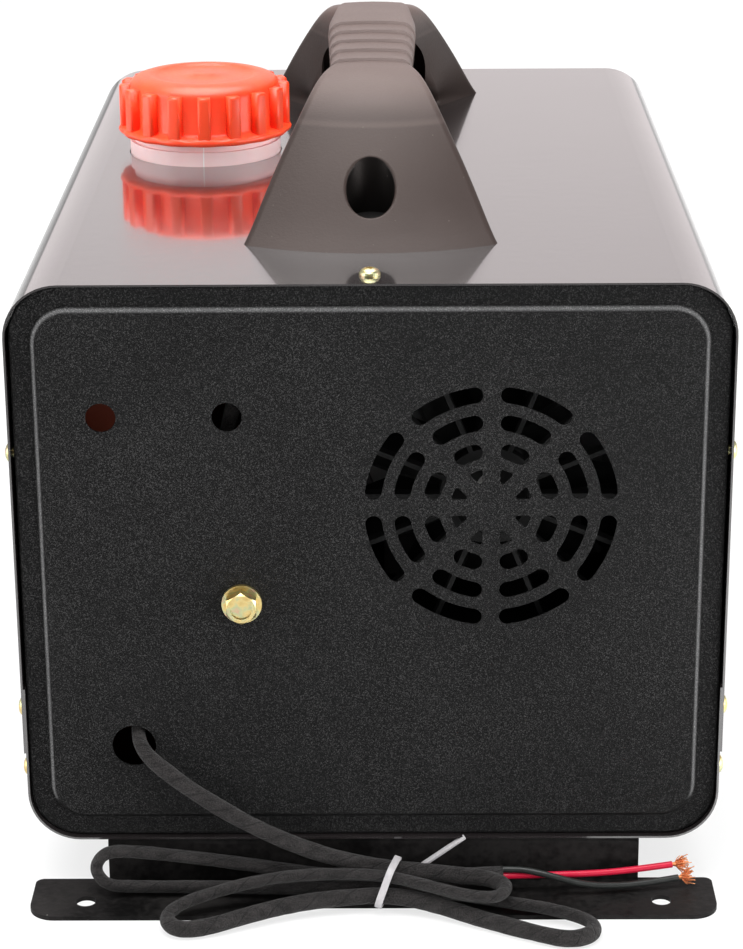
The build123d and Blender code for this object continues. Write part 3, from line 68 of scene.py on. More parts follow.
def seated(origin, x_axis, y_axis, z_axis):
    """Matrix that seats a thing at a place with these three directions."""
    return Matrix.Translation(origin) @ Matrix((x_axis, y_axis, z_axis)).transposed().to_4x4()


camera.matrix_world = seated(eye, right, upward, -ahead)
bpy.context.collection.objects.link(camera)
bpy.context.scene.camera = camera


# ---------------------------------------------------------------- wiring harness
# A flat bundle of wires wound in black cloth tape comes out of the panel's
# lower hole, is folded into a hank on the floor and ends in two leads.
harness_points = [
    (-80.5, -164.0, 75.0), (-80.5, -164.6, 65.5), (-80.8, -173.0, 57.0), (-77.5, -179.2, 53.5),
    (-71.5, -181.0, 48.5), (-63.5, -181.3, 42.0), (-53.0, -181.5, 34.5), (-41.0, -181.8, 27.2),
    (-27.0, -182.1, 20.3), (-12.0, -182.4, 15.0), (3.0, -182.7, 12.0), (17.0, -184.0, 11.2),
    (31.0, -187.2, 11.0), (41.5, -189.6, 11.0), (46.2, -196.2, 10.8), (41.5, -202.8, 10.6),
    (31.0, -200.5, 10.6), (19.0, -194.5, 11.0), (5.0, -188.9, 12.0), (-12.0, -187.9, 12.3),
    (-29.0, -188.4, 11.8), (-44.0, -191.4, 10.4), (-56.0, -194.5, 8.2), (-66.0, -198.0, 6.2),
    (-71.0, -204.4, 4.5), (-66.5, -210.9, 3.1), (-56.0, -208.8, 3.1), (-43.0, -202.6, 4.2),
    (-28.0, -196.1, 5.0), (-12.0, -192.5, 5.4), (5.0, -191.9, 6.3), (20.0, -195.4, 5.0),
    (34.0, -202.0, 3.2), (48.0, -209.5, 3.1), (58.0, -214.9, 3.1), (66.5, -217.8, 3.1),
    (73.5, -214.6, 3.1), (75.5, -207.6, 3.1), (70.0, -202.2, 3.4), (59.0, -199.0, 4.9),
    (45.0, -194.8, 4.9), (31.0, -190.0, 4.9), (18.0, -186.9, 5.2), (5.0, -185.8, 6.3),
    (-13.0, -185.2, 5.3), (-33.0, -184.3, 4.9), (-54.0, -183.6, 4.9), (-72.0, -183.2, 4.9),
    (-84.0, -183.0, 4.9), (-92.6, -182.8, 5.2), (-97.0, -180.9, 10.9), (-93.0, -179.0, 16.4),
    (-84.0, -178.4, 16.2), (-67.0, -178.2, 14.2), (-44.0, -178.2, 11.0), (-20.0, -178.6, 7.0),
    (5.0, -179.7, 6.3), (26.0, -180.0, 7.5), (45.0, -180.2, 8.4),
]
tape_half_width = 0.0030
tape_half_depth = 0.0021
thinner_at_hole = 0.36
thin_stretch = 0.035
bundle_lean = 1.35
lean_swing = 0.5
crease_depth = 0.03
sides_around = 20
tape_turn = 0.0105
tape_starts = 2


def route(name, points, smoothness=12):
    """NURBS curve through the neighbourhood of listed points in millimetres."""
    curve = bpy.data.curves.new(name, "CURVE")
    curve.dimensions = "3D"
    curve.resolution_u = smoothness
    line = curve.splines.new("NURBS")
    line.points.add(len(points) - 1)
    for point, spot in zip(line.points, points):
        point.co = (spot[0] / 1000, spot[1] / 1000, spot[2] / 1000, 1)
    line.order_u = 3
    line.use_endpoint_u = True
    return bpy.data.objects.new(name, curve)


def meshed(thing):
    """New mesh of an object as its curve settings or modifiers shape it."""
    bpy.context.view_layer.update()
    return bpy.data.meshes.new_from_object(thing.evaluated_get(bpy.context.evaluated_depsgraph_get()))


def centreline(name, points):
    """Points along the route's own smooth curve."""
    guide = route(name, points)
    bpy.context.collection.objects.link(guide)
    mesh = meshed(guide)
    spots = [vertex.co.copy() for vertex in mesh.vertices]
    bpy.data.meshes.remove(mesh)
    bpy.data.objects.remove(guide)
    return spots


def along_path(spots):
    """Distance, direction and an untwisted side direction at each spot."""
    stations = []
    side = Vector((0, 1, 0))
    travelled = 0.0
    for index, spot in enumerate(spots):
        before = spots[max(index - 1, 0)]
        after = spots[min(index + 1, len(spots) - 1)]
        heading = (after - before).normalized()
        side = (side - side.dot(heading) * heading).normalized()
        travelled += (spot - before).length
        stations.append((travelled, heading, side))
    return stations


def wander(distance, per_metre, seed, layer):
    """Smooth random value from -1 to 1 along the sleeve."""
    return noise.noise(Vector((distance * per_metre, seed, layer)))


sleeve_line = centreline("harness_guide", harness_points)
sleeve_stations = along_path(sleeve_line)
sleeve_length = sleeve_stations[-1][0]
sleeve_steps = len(sleeve_line) - 1
sleeve = bmesh.new()
sleeve.loops.layers.uv.new("along_and_around")
bmesh.ops.create_grid(sleeve, x_segments=sleeve_steps, y_segments=sides_around, size=0.5, calc_uvs=True)
for vertex in sleeve.verts:
    index = round((vertex.co.x + 0.5) * sleeve_steps)
    angle = (vertex.co.y + 0.5) * 2 * math.pi
    travelled, heading, side = sleeve_stations[index]
    other = heading.cross(side)
    lean = bundle_lean + lean_swing * wander(travelled, 14, 3.1, 0.4)
    slim = 1 - thinner_at_hole * (1 - min(travelled / thin_stretch, 1))
    width = slim * tape_half_width * (0.96 + 0.05 * wander(travelled, 90, 7.7, 1.3))
    depth = slim * tape_half_depth * (1.0 + 0.07 * wander(travelled, 120, 1.9, 5.1))
    crease_spot = Vector((travelled * 420, math.cos(angle) * 1.6, math.sin(angle) * 1.6))
    crease = 1 + crease_depth * noise.noise(crease_spot)
    across = crease * width * math.cos(angle)
    rise = crease * depth * math.sin(angle)
    vertex.co = (
        sleeve_line[index]
        + (across * math.cos(lean) - rise * math.sin(lean)) * side
        + (across * math.sin(lean) + rise * math.cos(lean)) * other
    )
bmesh.ops.remove_doubles(sleeve, verts=sleeve.verts, dist=0.000001)
bmesh.ops.holes_fill(sleeve, edges=[edge for edge in sleeve.edges if edge.is_boundary], sides=0)
bmesh.ops.recalc_face_normals(sleeve, faces=sleeve.faces)


class Wire:
    """One number or colour in a material; sums of wires add the Math nodes."""

    def __init__(self, finish, socket):
        self.finish = finish
        self.socket = socket

    def math(self, operation, first, second=None):
        values = {0: first}
        if second is not None:
            values[1] = second
        return self.finish.add("ShaderNodeMath", {"operation": operation}, values)[0]

    def __add__(self, other):
        return self.math("ADD", self, other)

    def __radd__(self, other):
        return self.math("ADD", other, self)

    def __sub__(self, other):
        return self.math("SUBTRACT", self, other)

    def __rsub__(self, other):
        return self.math("SUBTRACT", other, self)

    def __mul__(self, other):
        return self.math("MULTIPLY", self, other)

    def __rmul__(self, other):
        return self.math("MULTIPLY", other, self)

    def under(self, edge):
        return self.math("LESS_THAN", self, edge)

    def size(self):
        return self.math("ABSOLUTE", self)

    def fraction(self):
        return self.math("FRACT", self)

    def soft_step(self, low, high):
        settings = {"interpolation_type": "SMOOTHSTEP"}
        values = {"Value": self, "From Min": low, "From Max": high}
        return self.finish.add("ShaderNodeMapRange", settings, values)[0]


class Finish:
    """One paint or plastic, mixed from nodes."""

    def __init__(self, name, **fixed):
        self.material = bpy.data.materials.new(name)
        self.material.use_nodes = True
        self.tree = self.material.node_tree
        self.shader = self.tree.nodes["Principled BSDF"]
        for socket, value in fixed.items():
            self.shader.inputs[socket.replace("_", " ")].default_value = value

    def add(self, kind, settings=None, values=None):
        """A node's outputs, after its settings and then its inputs are filled in."""
        node = self.tree.nodes.new(kind)
        for name, value in (settings or {}).items():
            if name == "stops":
                while len(node.color_ramp.elements) < len(value):
                    node.color_ramp.elements.new(0.5)
                for stop, (share, hue) in zip(node.color_ramp.elements, value):
                    stop.position = share
                    stop.color = (*hue, 1)
            else:
                setattr(node, name, value)
        for name, value in (values or {}).items():
            self.feed(node.inputs[name], value)
        return [Wire(self, output) for output in node.outputs if output.enabled]

    def feed(self, socket, value):
        if isinstance(value, Wire):
            self.tree.links.new(value.socket, socket)
        else:
            socket.default_value = value

    def surface(self, **varying):
        for socket, value in varying.items():
            self.feed(self.shader.inputs[socket.replace("_", " ")], value)

    def bump(self, height, depth):
        self.surface(Normal=self.add("ShaderNodeBump", None, {"Height": height, "Distance": depth})[0])

    def split(self, vector):
        """The x, y and z of a vector."""
        return self.add("ShaderNodeSeparateXYZ", None, {"Vector": vector})

    def place(self):
        return self.add("ShaderNodeTexCoord")[3]

    def facing(self):
        """The x, y and z of the surface's normal."""
        return self.split(self.add("ShaderNodeNewGeometry")[1])

    def grain(self, size, detail=2.0, stretch=(1, 1, 1), roughness=0.5):
        """Noise with features of about this size in metres, from 0 to 1."""
        spot = self.add("ShaderNodeMapping", None, {"Vector": self.place(), "Scale": stretch})[0]
        values = {"Vector": spot, "Scale": 1 / size, "Detail": detail, "Roughness": roughness}
        return self.add("ShaderNodeTexNoise", None, values)[0]

    def specks(self, spacing, radius, share):
        """Round specks: 1 on a speck, 0 elsewhere."""
        cells = self.add("ShaderNodeTexVoronoi", None, {"Vector": self.place(), "Scale": 1 / spacing})
        pick = self.add("ShaderNodeSeparateColor", None, {"Color": cells[1]})
        return (cells[0] * spacing).under(radius * pick[1]) * pick[0].under(share)

    def blend(self, share, one, other):
        """Colour between one (share 0) and the other (share 1)."""
        one, other = [(*tone, 1) if isinstance(tone, tuple) else tone for tone in (one, other)]
        return self.add("ShaderNodeMix", {"data_type": "RGBA"}, {0: share, 6: one, 7: other})[0]

    def mottled(self, size, dark, light, roughness, spread=0.0, depth=0.0, **texture):
        """Soft patches between two tones, that may also vary the roughness and the height."""
        patches = self.grain(size, **texture)
        self.surface(Base_Color=self.blend(patches, dark, light), Roughness=roughness)
        if spread:
            self.surface(Roughness=roughness + spread * patches)
        if depth:
            self.bump(patches, depth)


def dress(finish, *nodes):
    """Gives CAD nodes their finish."""
    for name in nodes:
        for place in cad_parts[name].material_slots:
            place.material = finish.material


def new_piece(name, shape, finish, body="heater_case", smooth=True):
    """Turns a bmesh into a piece that rides on a body."""
    mesh = bpy.data.meshes.new(name)
    shape.to_mesh(mesh)
    shape.free()
    mesh.polygons.foreach_set("use_smooth", [smooth] * len(mesh.polygons))
    mesh.materials.append(finish.material)
    piece = bpy.data.objects.new(name, mesh)
    bpy.context.collection.objects.link(piece)
    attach(piece, body)
    return piece


tape = Finish("cloth_tape", Specular_IOR_Level=0.16, Sheen_Weight=0.1, Sheen_Roughness=0.5)
tape_uv = tape.split(tape.add("ShaderNodeUVMap")[0])
turns = tape_uv[0] * (sleeve_length / tape_turn) + tape_uv[1] * tape_starts
winding = (turns + tape.grain(0.012) * 0.5).fraction()
lap = winding.soft_step(0.0, 0.10) - winding.soft_step(0.95, 1.0)
cloth = tape.grain(0.00045, 3, roughness=0.75)
wrinkle = tape.grain(0.0026, 3, stretch=(0.4, 1, 1))
tape_tone = (cloth * 0.75 + wrinkle * 0.25).soft_step(0.36, 0.66) * (0.45 + 0.55 * lap)
tape_colour = tape.blend(tape_tone, (0.004, 0.0036, 0.0036), (0.036, 0.0325, 0.032))
tape_colour = tape.blend(tape.specks(0.006, 0.00022, 0.16), tape_colour, (0.32, 0.28, 0.22))
tape.surface(Base_Color=tape_colour, Roughness=0.62 + 0.22 * cloth)
tape.bump(lap * 0.22 + cloth * 0.5 + wrinkle * 1.3, 0.0009)
harness = new_piece("harness_sleeve", sleeve, tape)
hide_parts("harness_lead", "harness_hank")
dress(tape, "inner_harness")


# ---------------------------------------------------------------- bare leads
# Two plastic-covered copper wires leave the tape, cross once and end
# stripped, with their fine copper strands splayed.
red_points = [
    (45.06, -180.2, 7.15), (52.09, -180.27, 7.48), (65.0, -179.7, 7.4),
    (79.0, -178.4, 7.3), (92.0, -176.8, 7.9), (104.0, -175.2, 8.9),
]
black_points = [
    (44.94, -180.2, 9.65), (51.02, -180.26, 9.94), (60.5, -183.2, 9.1), (73.0, -183.6, 5.3),
    (86.0, -182.0, 4.2), (97.5, -179.8, 4.6), (106.0, -178.0, 5.2),
]
lead_radius = 0.00115
strand_radius = 0.00016
strand_count = 56


def make_lead(name, points, finish, node):
    lead = route(name, points, 10)
    lead.data.bevel_depth = lead_radius
    lead.data.bevel_resolution = 5
    lead.data.use_fill_caps = True
    lead.data.materials.append(finish.material)
    bpy.context.collection.objects.link(lead)
    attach(lead, "heater_case")
    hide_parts(node)
    return lead


red_cover = Finish("red_insulation", Specular_IOR_Level=0.5, Coat_Weight=0.2)
red_cover.mottled(0.004, (0.48, 0.004, 0.03), (0.62, 0.012, 0.05), 0.32)
black_cover = Finish("black_insulation", Specular_IOR_Level=0.5)
black_cover.mottled(0.003, (0.01, 0.012, 0.012), (0.03, 0.032, 0.03), 0.36)
red_lead = make_lead("red_wire", red_points, red_cover, "red_lead")
black_lead = make_lead("black_wire", black_points, black_cover, "black_lead")
copper = Finish("bare_copper", Metallic=1.0)
copper.mottled(0.0015, (0.82, 0.25, 0.08), (0.95, 0.47, 0.24), 0.32)


def splayed_strands(name, root, heading, seed):
    """Fine wires that fan out and curl at the end of a lead."""
    bundle = bpy.data.curves.new(name, "CURVE")
    bundle.dimensions = "3D"
    bundle.bevel_depth = strand_radius
    bundle.bevel_resolution = 1
    bundle.resolution_u = 4
    root = Vector(root)
    heading = Vector(heading).normalized()
    side = heading.cross(Vector((0, 0, 1))).normalized()
    rise = side.cross(heading)
    golden_angle = 2.39996
    for index in range(strand_count):
        turn = golden_angle * index
        reach = 0.3 + 0.7 * (noise.noise(Vector((index * 1.7, seed, 0.5))) * 0.5 + 0.5)
        out = (math.cos(turn) * side + math.sin(turn) * rise) * math.sqrt((index + 0.5) / strand_count)
        curl = Vector([noise.noise(Vector((index * 2.3, seed + axis, 1.1))) for axis in (0, 5, 9)])
        spots = [
            root - heading * 0.0006 + out * 0.0004,
            root + heading * 0.0012 + out * 0.0006,
            root + heading * 0.0030 * reach + out * 0.0014 + curl * 0.0007,
            root + heading * 0.0050 * reach + out * 0.0026 + curl * 0.0018,
            root + heading * 0.0066 * reach + out * 0.0030 + curl * 0.0030,
        ]
        strand = bundle.splines.new("NURBS")
        strand.points.add(len(spots) - 1)
        for point, spot in zip(strand.points, spots):
            point.co = (*spot, 1)
        strand.order_u = 3
        strand.use_endpoint_u = True
    bundle.materials.append(copper.material)
    piece = bpy.data.objects.new(name, bundle)
    bpy.context.collection.objects.link(piece)
    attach(piece, "heater_case")
    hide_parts("copper_ends")
    return piece


red_strands = splayed_strands("red_wire_strands", (0.104, -0.1752, 0.0089), (12, 1.6, 0.4), 2.0)
black_strands = splayed_strands("black_wire_strands", (0.106, -0.178, 0.0052), (8.5, 1.8, 0.9), 6.0)


# ---------------------------------------------------------------- cable tie
# A natural nylon strap pulled tight round the hank, with its lock behind
# the bundle and its long toothed tail left uncut, up under the case.
tie_centre = Vector((0.0055, -0.186, 0.0087))
tie_along = Vector((0.25, 1, 0)).normalized()
tie_through = Vector((1, -0.25, -0.3)).normalized()
strap_width = 0.0024
strap_thickness = 0.0011
lock_centre = Vector((0.0065, -0.1749, 0.0047))
lock_width = 0.0046
lock_depth = 0.0030
half_lock = Vector((0, 0, 0.0023))
tail_start = Vector((0.0150, -0.1768, 0.0082))
tail_end = Vector((0.0318, -0.1735, 0.0190))
teeth_per_metre = 900
nylon = Finish("natural_nylon", Subsurface_Weight=0.25, Specular_IOR_Level=0.5, Coat_Weight=0.1)
nylon.shader.inputs["Subsurface Radius"].default_value = (0.0012, 0.0011, 0.001)
cloudy = nylon.grain(0.0008, 1) * 0.4 + nylon.grain(0.004, 1) * 0.6
teeth = (nylon.split(nylon.place())[0] * teeth_per_metre).fraction().soft_step(0.2, 0.8)
nylon.surface(Base_Color=nylon.blend(cloudy, (0.38, 0.37, 0.385), (0.57, 0.55, 0.56)), Roughness=0.38)
nylon.bump(cloudy * 0.4 + teeth * 0.6, 0.0002)


def strap_section():
    """Rounded cross-section of the strap, as a flat closed curve."""
    outline = bpy.data.curves.new("strap_section", "CURVE")
    outline.resolution_u = 4
    line = outline.splines.new("NURBS")
    corners = [(0.5, 0.3), (0.5, 0.5), (0.3, 0.5), (-0.3, 0.5), (-0.5, 0.5), (-0.5, 0.3)]
    corners += [(-across, -up) for across, up in corners]
    line.points.add(len(corners) - 1)
    for point, (across, up) in zip(line.points, corners):
        point.co = (across * strap_thickness, up * strap_width, 0, 1)
    line.order_u = 3
    line.use_cyclic_u = True
    section = bpy.data.objects.new("strap_section", outline)
    bpy.context.collection.objects.link(section)
    return section


def tie_band():
    """The strap's loop: a tight hull round the passes of the bundle."""
    tie_up = tie_through.cross(tie_along)
    reach = tape_half_width + 0.8 * strap_thickness
    outline = []
    for spot, next_spot in zip(sleeve_line, sleeve_line[1:]):
        before = (spot - tie_centre).dot(tie_through)
        after = (next_spot - tie_centre).dot(tie_through)
        if before * after <= 0 and before != after:
            crossing = spot.lerp(next_spot, before / (before - after)) - tie_centre
            for step in range(24):
                turn = 2 * math.pi * step / 24
                outline.append((
                    crossing.dot(tie_along) + reach * math.cos(turn),
                    crossing.dot(tie_up) + reach * math.sin(turn),
                ))
    loop = bpy.data.curves.new("tie_band", "CURVE")
    loop.dimensions = "2D"
    loop.fill_mode = "NONE"
    line = loop.splines.new("POLY")
    hull = geometry.convex_hull_2d(outline)
    line.points.add(len(hull) - 1)
    for point, index in zip(line.points, hull):
        point.co = (*outline[index], 0, 1)
    line.use_cyclic_u = True
    section = strap_section()
    loop.bevel_mode = "OBJECT"
    loop.bevel_object = section
    guide = bpy.data.objects.new("tie_band", loop)
    bpy.context.collection.objects.link(guide)
    mesh = meshed(guide)
    band = bmesh.new()
    band.from_mesh(mesh)
    bpy.data.objects.remove(guide)
    bpy.data.objects.remove(section)
    bpy.data.meshes.remove(mesh)
    seat = seated(tie_centre, tie_along, tie_up, tie_through)
    bmesh.ops.transform(band, matrix=seat, verts=band.verts)
    return band


def rounded(shape, edges, radius):
    """Rounds some edges of a loose piece, and returns all the piece's vertices."""
    corners = bmesh.ops.bevel(
        shape, geom=edges, offset=radius, segments=3, profile=0.5, material=-1, affect="EDGES"
    )["verts"]
    return list({vertex for corner in corners for face in corner.link_faces for vertex in face.verts})


def rounded_bar(shape, start, end, width, thickness):
    """Adds a straight bar with rounded edges between two points."""
    bar = bmesh.ops.create_cube(shape, size=1)["verts"]
    run = end - start
    for vertex in bar:
        vertex.co = (vertex.co.x * width, vertex.co.y * thickness, vertex.co.z * run.length)
    edges = list({edge for vertex in bar for edge in vertex.link_edges})
    whole = rounded(shape, edges, 0.3 * min(width, thickness))
    lean = run.to_track_quat("Z", "Y").to_matrix().to_4x4()
    bmesh.ops.transform(shape, matrix=Matrix.Translation((start + end) / 2) @ lean, verts=whole)


tie_shape = tie_band()
rounded_bar(tie_shape, lock_centre - half_lock, lock_centre + half_lock, lock_width, lock_depth)
rounded_bar(tie_shape, tail_start, tail_end, strap_width, strap_thickness)
bmesh.ops.remove_doubles(tie_shape, verts=tie_shape.verts, dist=0.000001)
bmesh.ops.recalc_face_normals(tie_shape, faces=tie_shape.faces)
tie = new_piece("hank_tie", tie_shape, nylon)
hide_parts("cable_tie")


# ---------------------------------------------------------------- base brackets
# Z-bent sheet steel under each end, powder coated black, a little mottled
# and dusty, riveted to the tray and drilled for floor screws.
bracket_paint = Finish("bracket_paint", Specular_IOR_Level=0.10)
film = bracket_paint.grain(0.03, 3) * 0.6 + bracket_paint.grain(0.0022, 2) * 0.4
film_share = film.soft_step(0.35, 0.65)
bracket_tone = bracket_paint.blend(film_share, (0.004, 0.0038, 0.0038), (0.017, 0.0158, 0.0154))
dust = bracket_paint.specks(0.007, 0.00026, 0.24)
bracket_tone = bracket_paint.blend(dust, bracket_tone, (0.4, 0.4, 0.38))
bracket_paint.surface(Base_Color=bracket_tone, Roughness=0.38 + 0.18 * film)
bracket_paint.bump(bracket_paint.grain(0.0016, 2), 0.00006)
dress(bracket_paint, "front_base_bracket", "rear_base_bracket", "heater_platform")
plated = Finish("bright_zinc", Metallic=1.0)
plated.mottled(0.003, (0.5, 0.51, 0.53), (0.68, 0.68, 0.68), 0.26, 0.2, detail=3)
dress(plated, "bracket_rivets", "handle_nuts")
blackened = Finish("blackened_steel", Metallic=1.0)
blackened.mottled(0.002, (0.02, 0.02, 0.02), (0.045, 0.044, 0.043), 0.4, 0.15)
dress(blackened, "handle_screws")


# ---------------------------------------------------------------- end panels
# Pressed steel in a fine textured matte black powder coat. The intake panel's
# raised field has a rounded slope all round; the middle of its top and side
# slopes is painted light grey, a painted highlight for the light from above
# and from both sides.
field_face = 0.1740
slope_depth = 0.0022
crest = 0.0010
powder = Finish("textured_powder_coat", Specular_IOR_Level=0.18)
fine = powder.grain(0.00043, 2, roughness=0.8)
clouds = powder.grain(0.05, 2)
grainy = (fine * 0.92 + clouds * 0.08).soft_step(0.49, 0.68)
facing = powder.facing()
# Painted highlight: the top and side slopes of the intake panel's field, picked out by their normals.
lit_slopes = (facing[2] + facing[0].size()).soft_step(0.2, 0.55) * (0 - facing[1]).soft_step(0.3, 0.5)
depth_there = powder.split(powder.place())[1].size()
crest_starts = depth_there.soft_step(field_face - slope_depth, field_face - slope_depth + crest)
crest_ends = depth_there.soft_step(field_face - crest, field_face)
flat_tone = powder.blend(grainy, (0.0010, 0.0010, 0.0011), (0.043, 0.0425, 0.0425))
# Light grey tone of the painted slope highlight.
painted_slope_highlight = powder.blend(grainy, (0.10, 0.10, 0.101), (0.30, 0.298, 0.298))
powder_tone = powder.blend(lit_slopes * (crest_starts - crest_ends), flat_tone, painted_slope_highlight)
powder_tone = powder.blend(powder.specks(0.016, 0.00032, 0.22), powder_tone, (0.3, 0.3, 0.3))
powder.surface(Base_Color=powder_tone, Roughness=0.42 + 0.16 * fine + 0.05 * clouds)
powder.bump(fine, 0.0004)
dress(powder, "intake_end_panel", "outlet_end_panel")


# ---------------------------------------------------------------- case cover and tray
# One sheet of steel bent round both upper corners and down the sides, and
# the tray below it, in a smooth glossy black lacquer that mirrors what
# stands on it.
lacquer = Finish("glossy_lacquer", IOR=1.7, Coat_Weight=1.0, Coat_Roughness=0.06, Coat_IOR=1.9)
haze = lacquer.grain(0.05, 3)
lacquer_tone = lacquer.blend(haze, (0.016, 0.0135, 0.0138), (0.022, 0.0185, 0.019))
lacquer_tone = lacquer.blend(lacquer.specks(0.02, 0.00028, 0.25), lacquer_tone, (0.4, 0.38, 0.38))
lacquer.surface(Base_Color=lacquer_tone, Roughness=0.14 + 0.1 * haze)
lacquer.bump(lacquer.grain(0.005, 2), 0.00004)
dress(lacquer, "upper_cover", "lower_tray")


# ---------------------------------------------------------------- case screws
# Cross-recessed pan head screws in yellow zinc, through the cover, the
# tray and the panels' turned-in flanges.
case_half_width = 0.120
case_bottom = 0.0185
case_top = 0.2185
sheet = 0.0007
screw_row = 0.163
upper_screw = 0.139
lower_screw = 0.046
tray_screw = 0.0233
head_radius = 0.0036
head_height = 0.0025
shank_radius = 0.0016
shank_length = 0.0070
recess_length = 0.0040
recess_width = 0.00075
recess_depth = 0.0024
screw_seats = []
for end in (-screw_row, screw_row):
    screw_seats.append(((0, end, case_top), (0, 0, 1), 0.3))
    for side in (-1, 1):
        cover_side = side * case_half_width
        screw_seats.append(((cover_side, end, case_bottom + upper_screw), (side, 0, 0), 0.9))
        screw_seats.append(((cover_side, end, case_bottom + lower_screw), (side, 0, 0), 0.1))
        screw_seats.append(((cover_side - side * sheet, end, case_bottom + tray_screw), (side, 0, 0), 0.6))
yellow_zinc = Finish("yellow_zinc", Metallic=1.0)
plating_hues = [
    (0.25, (0.66, 0.46, 0.15)), (0.45, (0.80, 0.63, 0.28)),
    (0.58, (0.56, 0.60, 0.34)), (0.72, (0.74, 0.44, 0.30)),
]
plating = {"Fac": yellow_zinc.grain(0.0035, 2)}
rainbow = yellow_zinc.add("ShaderNodeValToRGB", {"stops": plating_hues}, plating)[0]
yellow_zinc.surface(Base_Color=rainbow, Roughness=0.28 + 0.14 * yellow_zinc.grain(0.0012))


def turned(profile, steps=32):
    """Bmesh of revolution about Z from (radius, height) pairs in metres."""
    shape = bmesh.new()
    chain = [shape.verts.new((radius, 0, height)) for radius, height in profile]
    edges = [shape.edges.new(pair) for pair in zip(chain, chain[1:])]
    bmesh.ops.spin(
        shape, geom=chain + edges, cent=(0, 0, 0), axis=(0, 0, 1), angle=2 * math.pi, steps=steps,
        use_merge=True,
    )
    bmesh.ops.remove_doubles(shape, verts=shape.verts, dist=0.000001)
    bmesh.ops.recalc_face_normals(shape, faces=shape.faces)
    return shape


def carved(shape, *cutters):
    """The first bmesh with the others cut out of it, one after another."""
    objects = []
    for part in (shape, *cutters):
        mesh = bpy.data.meshes.new("carving")
        part.to_mesh(mesh)
        part.free()
        block = bpy.data.objects.new("carving", mesh)
        bpy.context.collection.objects.link(block)
        objects.append(block)
    for cutter in objects[1:]:
        cut = objects[0].modifiers.new("cut", "BOOLEAN")
        cut.operation = "DIFFERENCE"
        cut.solver = "EXACT"
        cut.object = cutter
    finished = meshed(objects[0])
    result = bmesh.new()
    result.from_mesh(finished)
    for block in objects:
        bpy.data.objects.remove(block)
    bpy.data.meshes.remove(finished)
    return result


def screw_head():
    """A pan head with its shank, and the two bars of its cross recess cut out."""
    head = turned([
        (0, head_height), (0.0010, head_height * 0.985), (0.0020, head_height * 0.90),
        (0.0028, head_height * 0.72), (0.0033, head_height * 0.48), (head_radius, head_height * 0.2),
        (head_radius, 0.00002), (shank_radius + 0.0002, 0.00002), (shank_radius, 0.0002 - shank_length),
        (0, -shank_length),
    ])
    bars = []
    for turn in (0, math.pi / 2):
        bar = bmesh.new()
        bmesh.ops.create_cube(bar, size=1)
        for vertex in bar.verts:
            taper = 1.0 if vertex.co.z > 0 else 0.45
            vertex.co = (
                vertex.co.x * recess_length * taper,
                vertex.co.y * recess_width,
                vertex.co.z * recess_depth + head_height,
            )
        bmesh.ops.rotate(bar, verts=bar.verts, cent=(0, 0, 0), matrix=Matrix.Rotation(turn, 3, "Z"))
        bars.append(bar)
    return carved(head, *bars)


one_screw = screw_head()
screw_mesh = bpy.data.meshes.new("one_screw")
one_screw.to_mesh(screw_mesh)
one_screw.free()
all_screws = bmesh.new()
for place, outward, turn in screw_seats:
    first = len(all_screws.verts)
    all_screws.from_mesh(screw_mesh)
    all_screws.verts.ensure_lookup_table()
    tilt = Vector(outward).to_track_quat("Z", "Y").to_matrix().to_4x4()
    seat = Matrix.Translation(place) @ tilt @ Matrix.Rotation(turn, 4, "Z")
    bmesh.ops.transform(all_screws, matrix=seat, verts=all_screws.verts[first:])
bpy.data.meshes.remove(screw_mesh)
screws = new_piece("case_screw_set", all_screws, yellow_zinc, smooth=False)
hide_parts("case_screws")
dress(yellow_zinc, "pump_bolt")


# ---------------------------------------------------------------- filler cap
# Screw cap moulded in translucent orange plastic: a low domed crown, ribs
# that stand on a scalloped flange, and a flat seal that lies on the neck.
cap_centre = Vector((-0.065, 0.019, 0))
cap_foot = 0.2268
cap_crown = 0.2486
neck_rim = 0.2467
skirt_radius = 0.0290
flange_radius = 0.0332
flange_top = cap_foot + 0.0030
scallop_start = 0.0305
scallop_depth = 0.009
scallop_rise = 0.0003
bore_radius = 0.0269
bore_top = 0.2455
rib_count = 17
first_rib = math.radians(-86.8)
rib_width = 0.0047
rib_foot_spread = 1.08
rib_root = 0.0275
rib_reach = 0.0328
rib_low = cap_foot + 0.0012
rib_high = cap_foot + 0.0184
rib_rounding = 0.0011
seal_inner = 0.0216
seal_outer = 0.0254
seal_low = neck_rim + 0.0001
seal_high = neck_rim + 0.0004
cap_shape = turned([
    (0, cap_crown - 0.0002), (0.0042, cap_crown - 0.0002), (0.0046, cap_crown - 0.0005),
    (0.0186, cap_crown - 0.0006), (0.0191, cap_crown - 0.0001), (0.0215, cap_crown),
    (0.0240, cap_crown - 0.0003), (0.0262, cap_crown - 0.0010), (0.0278, cap_crown - 0.0021),
    (0.0286, cap_crown - 0.0032), (skirt_radius, cap_crown - 0.0046), (skirt_radius, flange_top + 0.0012),
    (0.0296, flange_top + 0.0003), (0.0318, flange_top - 0.0001),
    (flange_radius - 0.0004, flange_top - 0.0007),
    (flange_radius, cap_foot + 0.0016), (flange_radius - 0.0002, cap_foot + 0.0006),
    (flange_radius - 0.0008, cap_foot), (bore_radius, cap_foot), (bore_radius, bore_top),
    (0.0256, neck_rim + 0.0005), (0, neck_rim + 0.0005),
], steps=rib_count * 12)
for vertex in cap_shape.verts:
    if math.hypot(vertex.co.x, vertex.co.y) > scallop_start:
        swell = math.cos(rib_count * (math.atan2(vertex.co.y, vertex.co.x) - first_rib))
        vertex.co.x *= 1 + scallop_depth * swell
        vertex.co.y *= 1 + scallop_depth * swell
        if vertex.co.z > cap_foot + 0.002:
            vertex.co.z += scallop_rise * swell
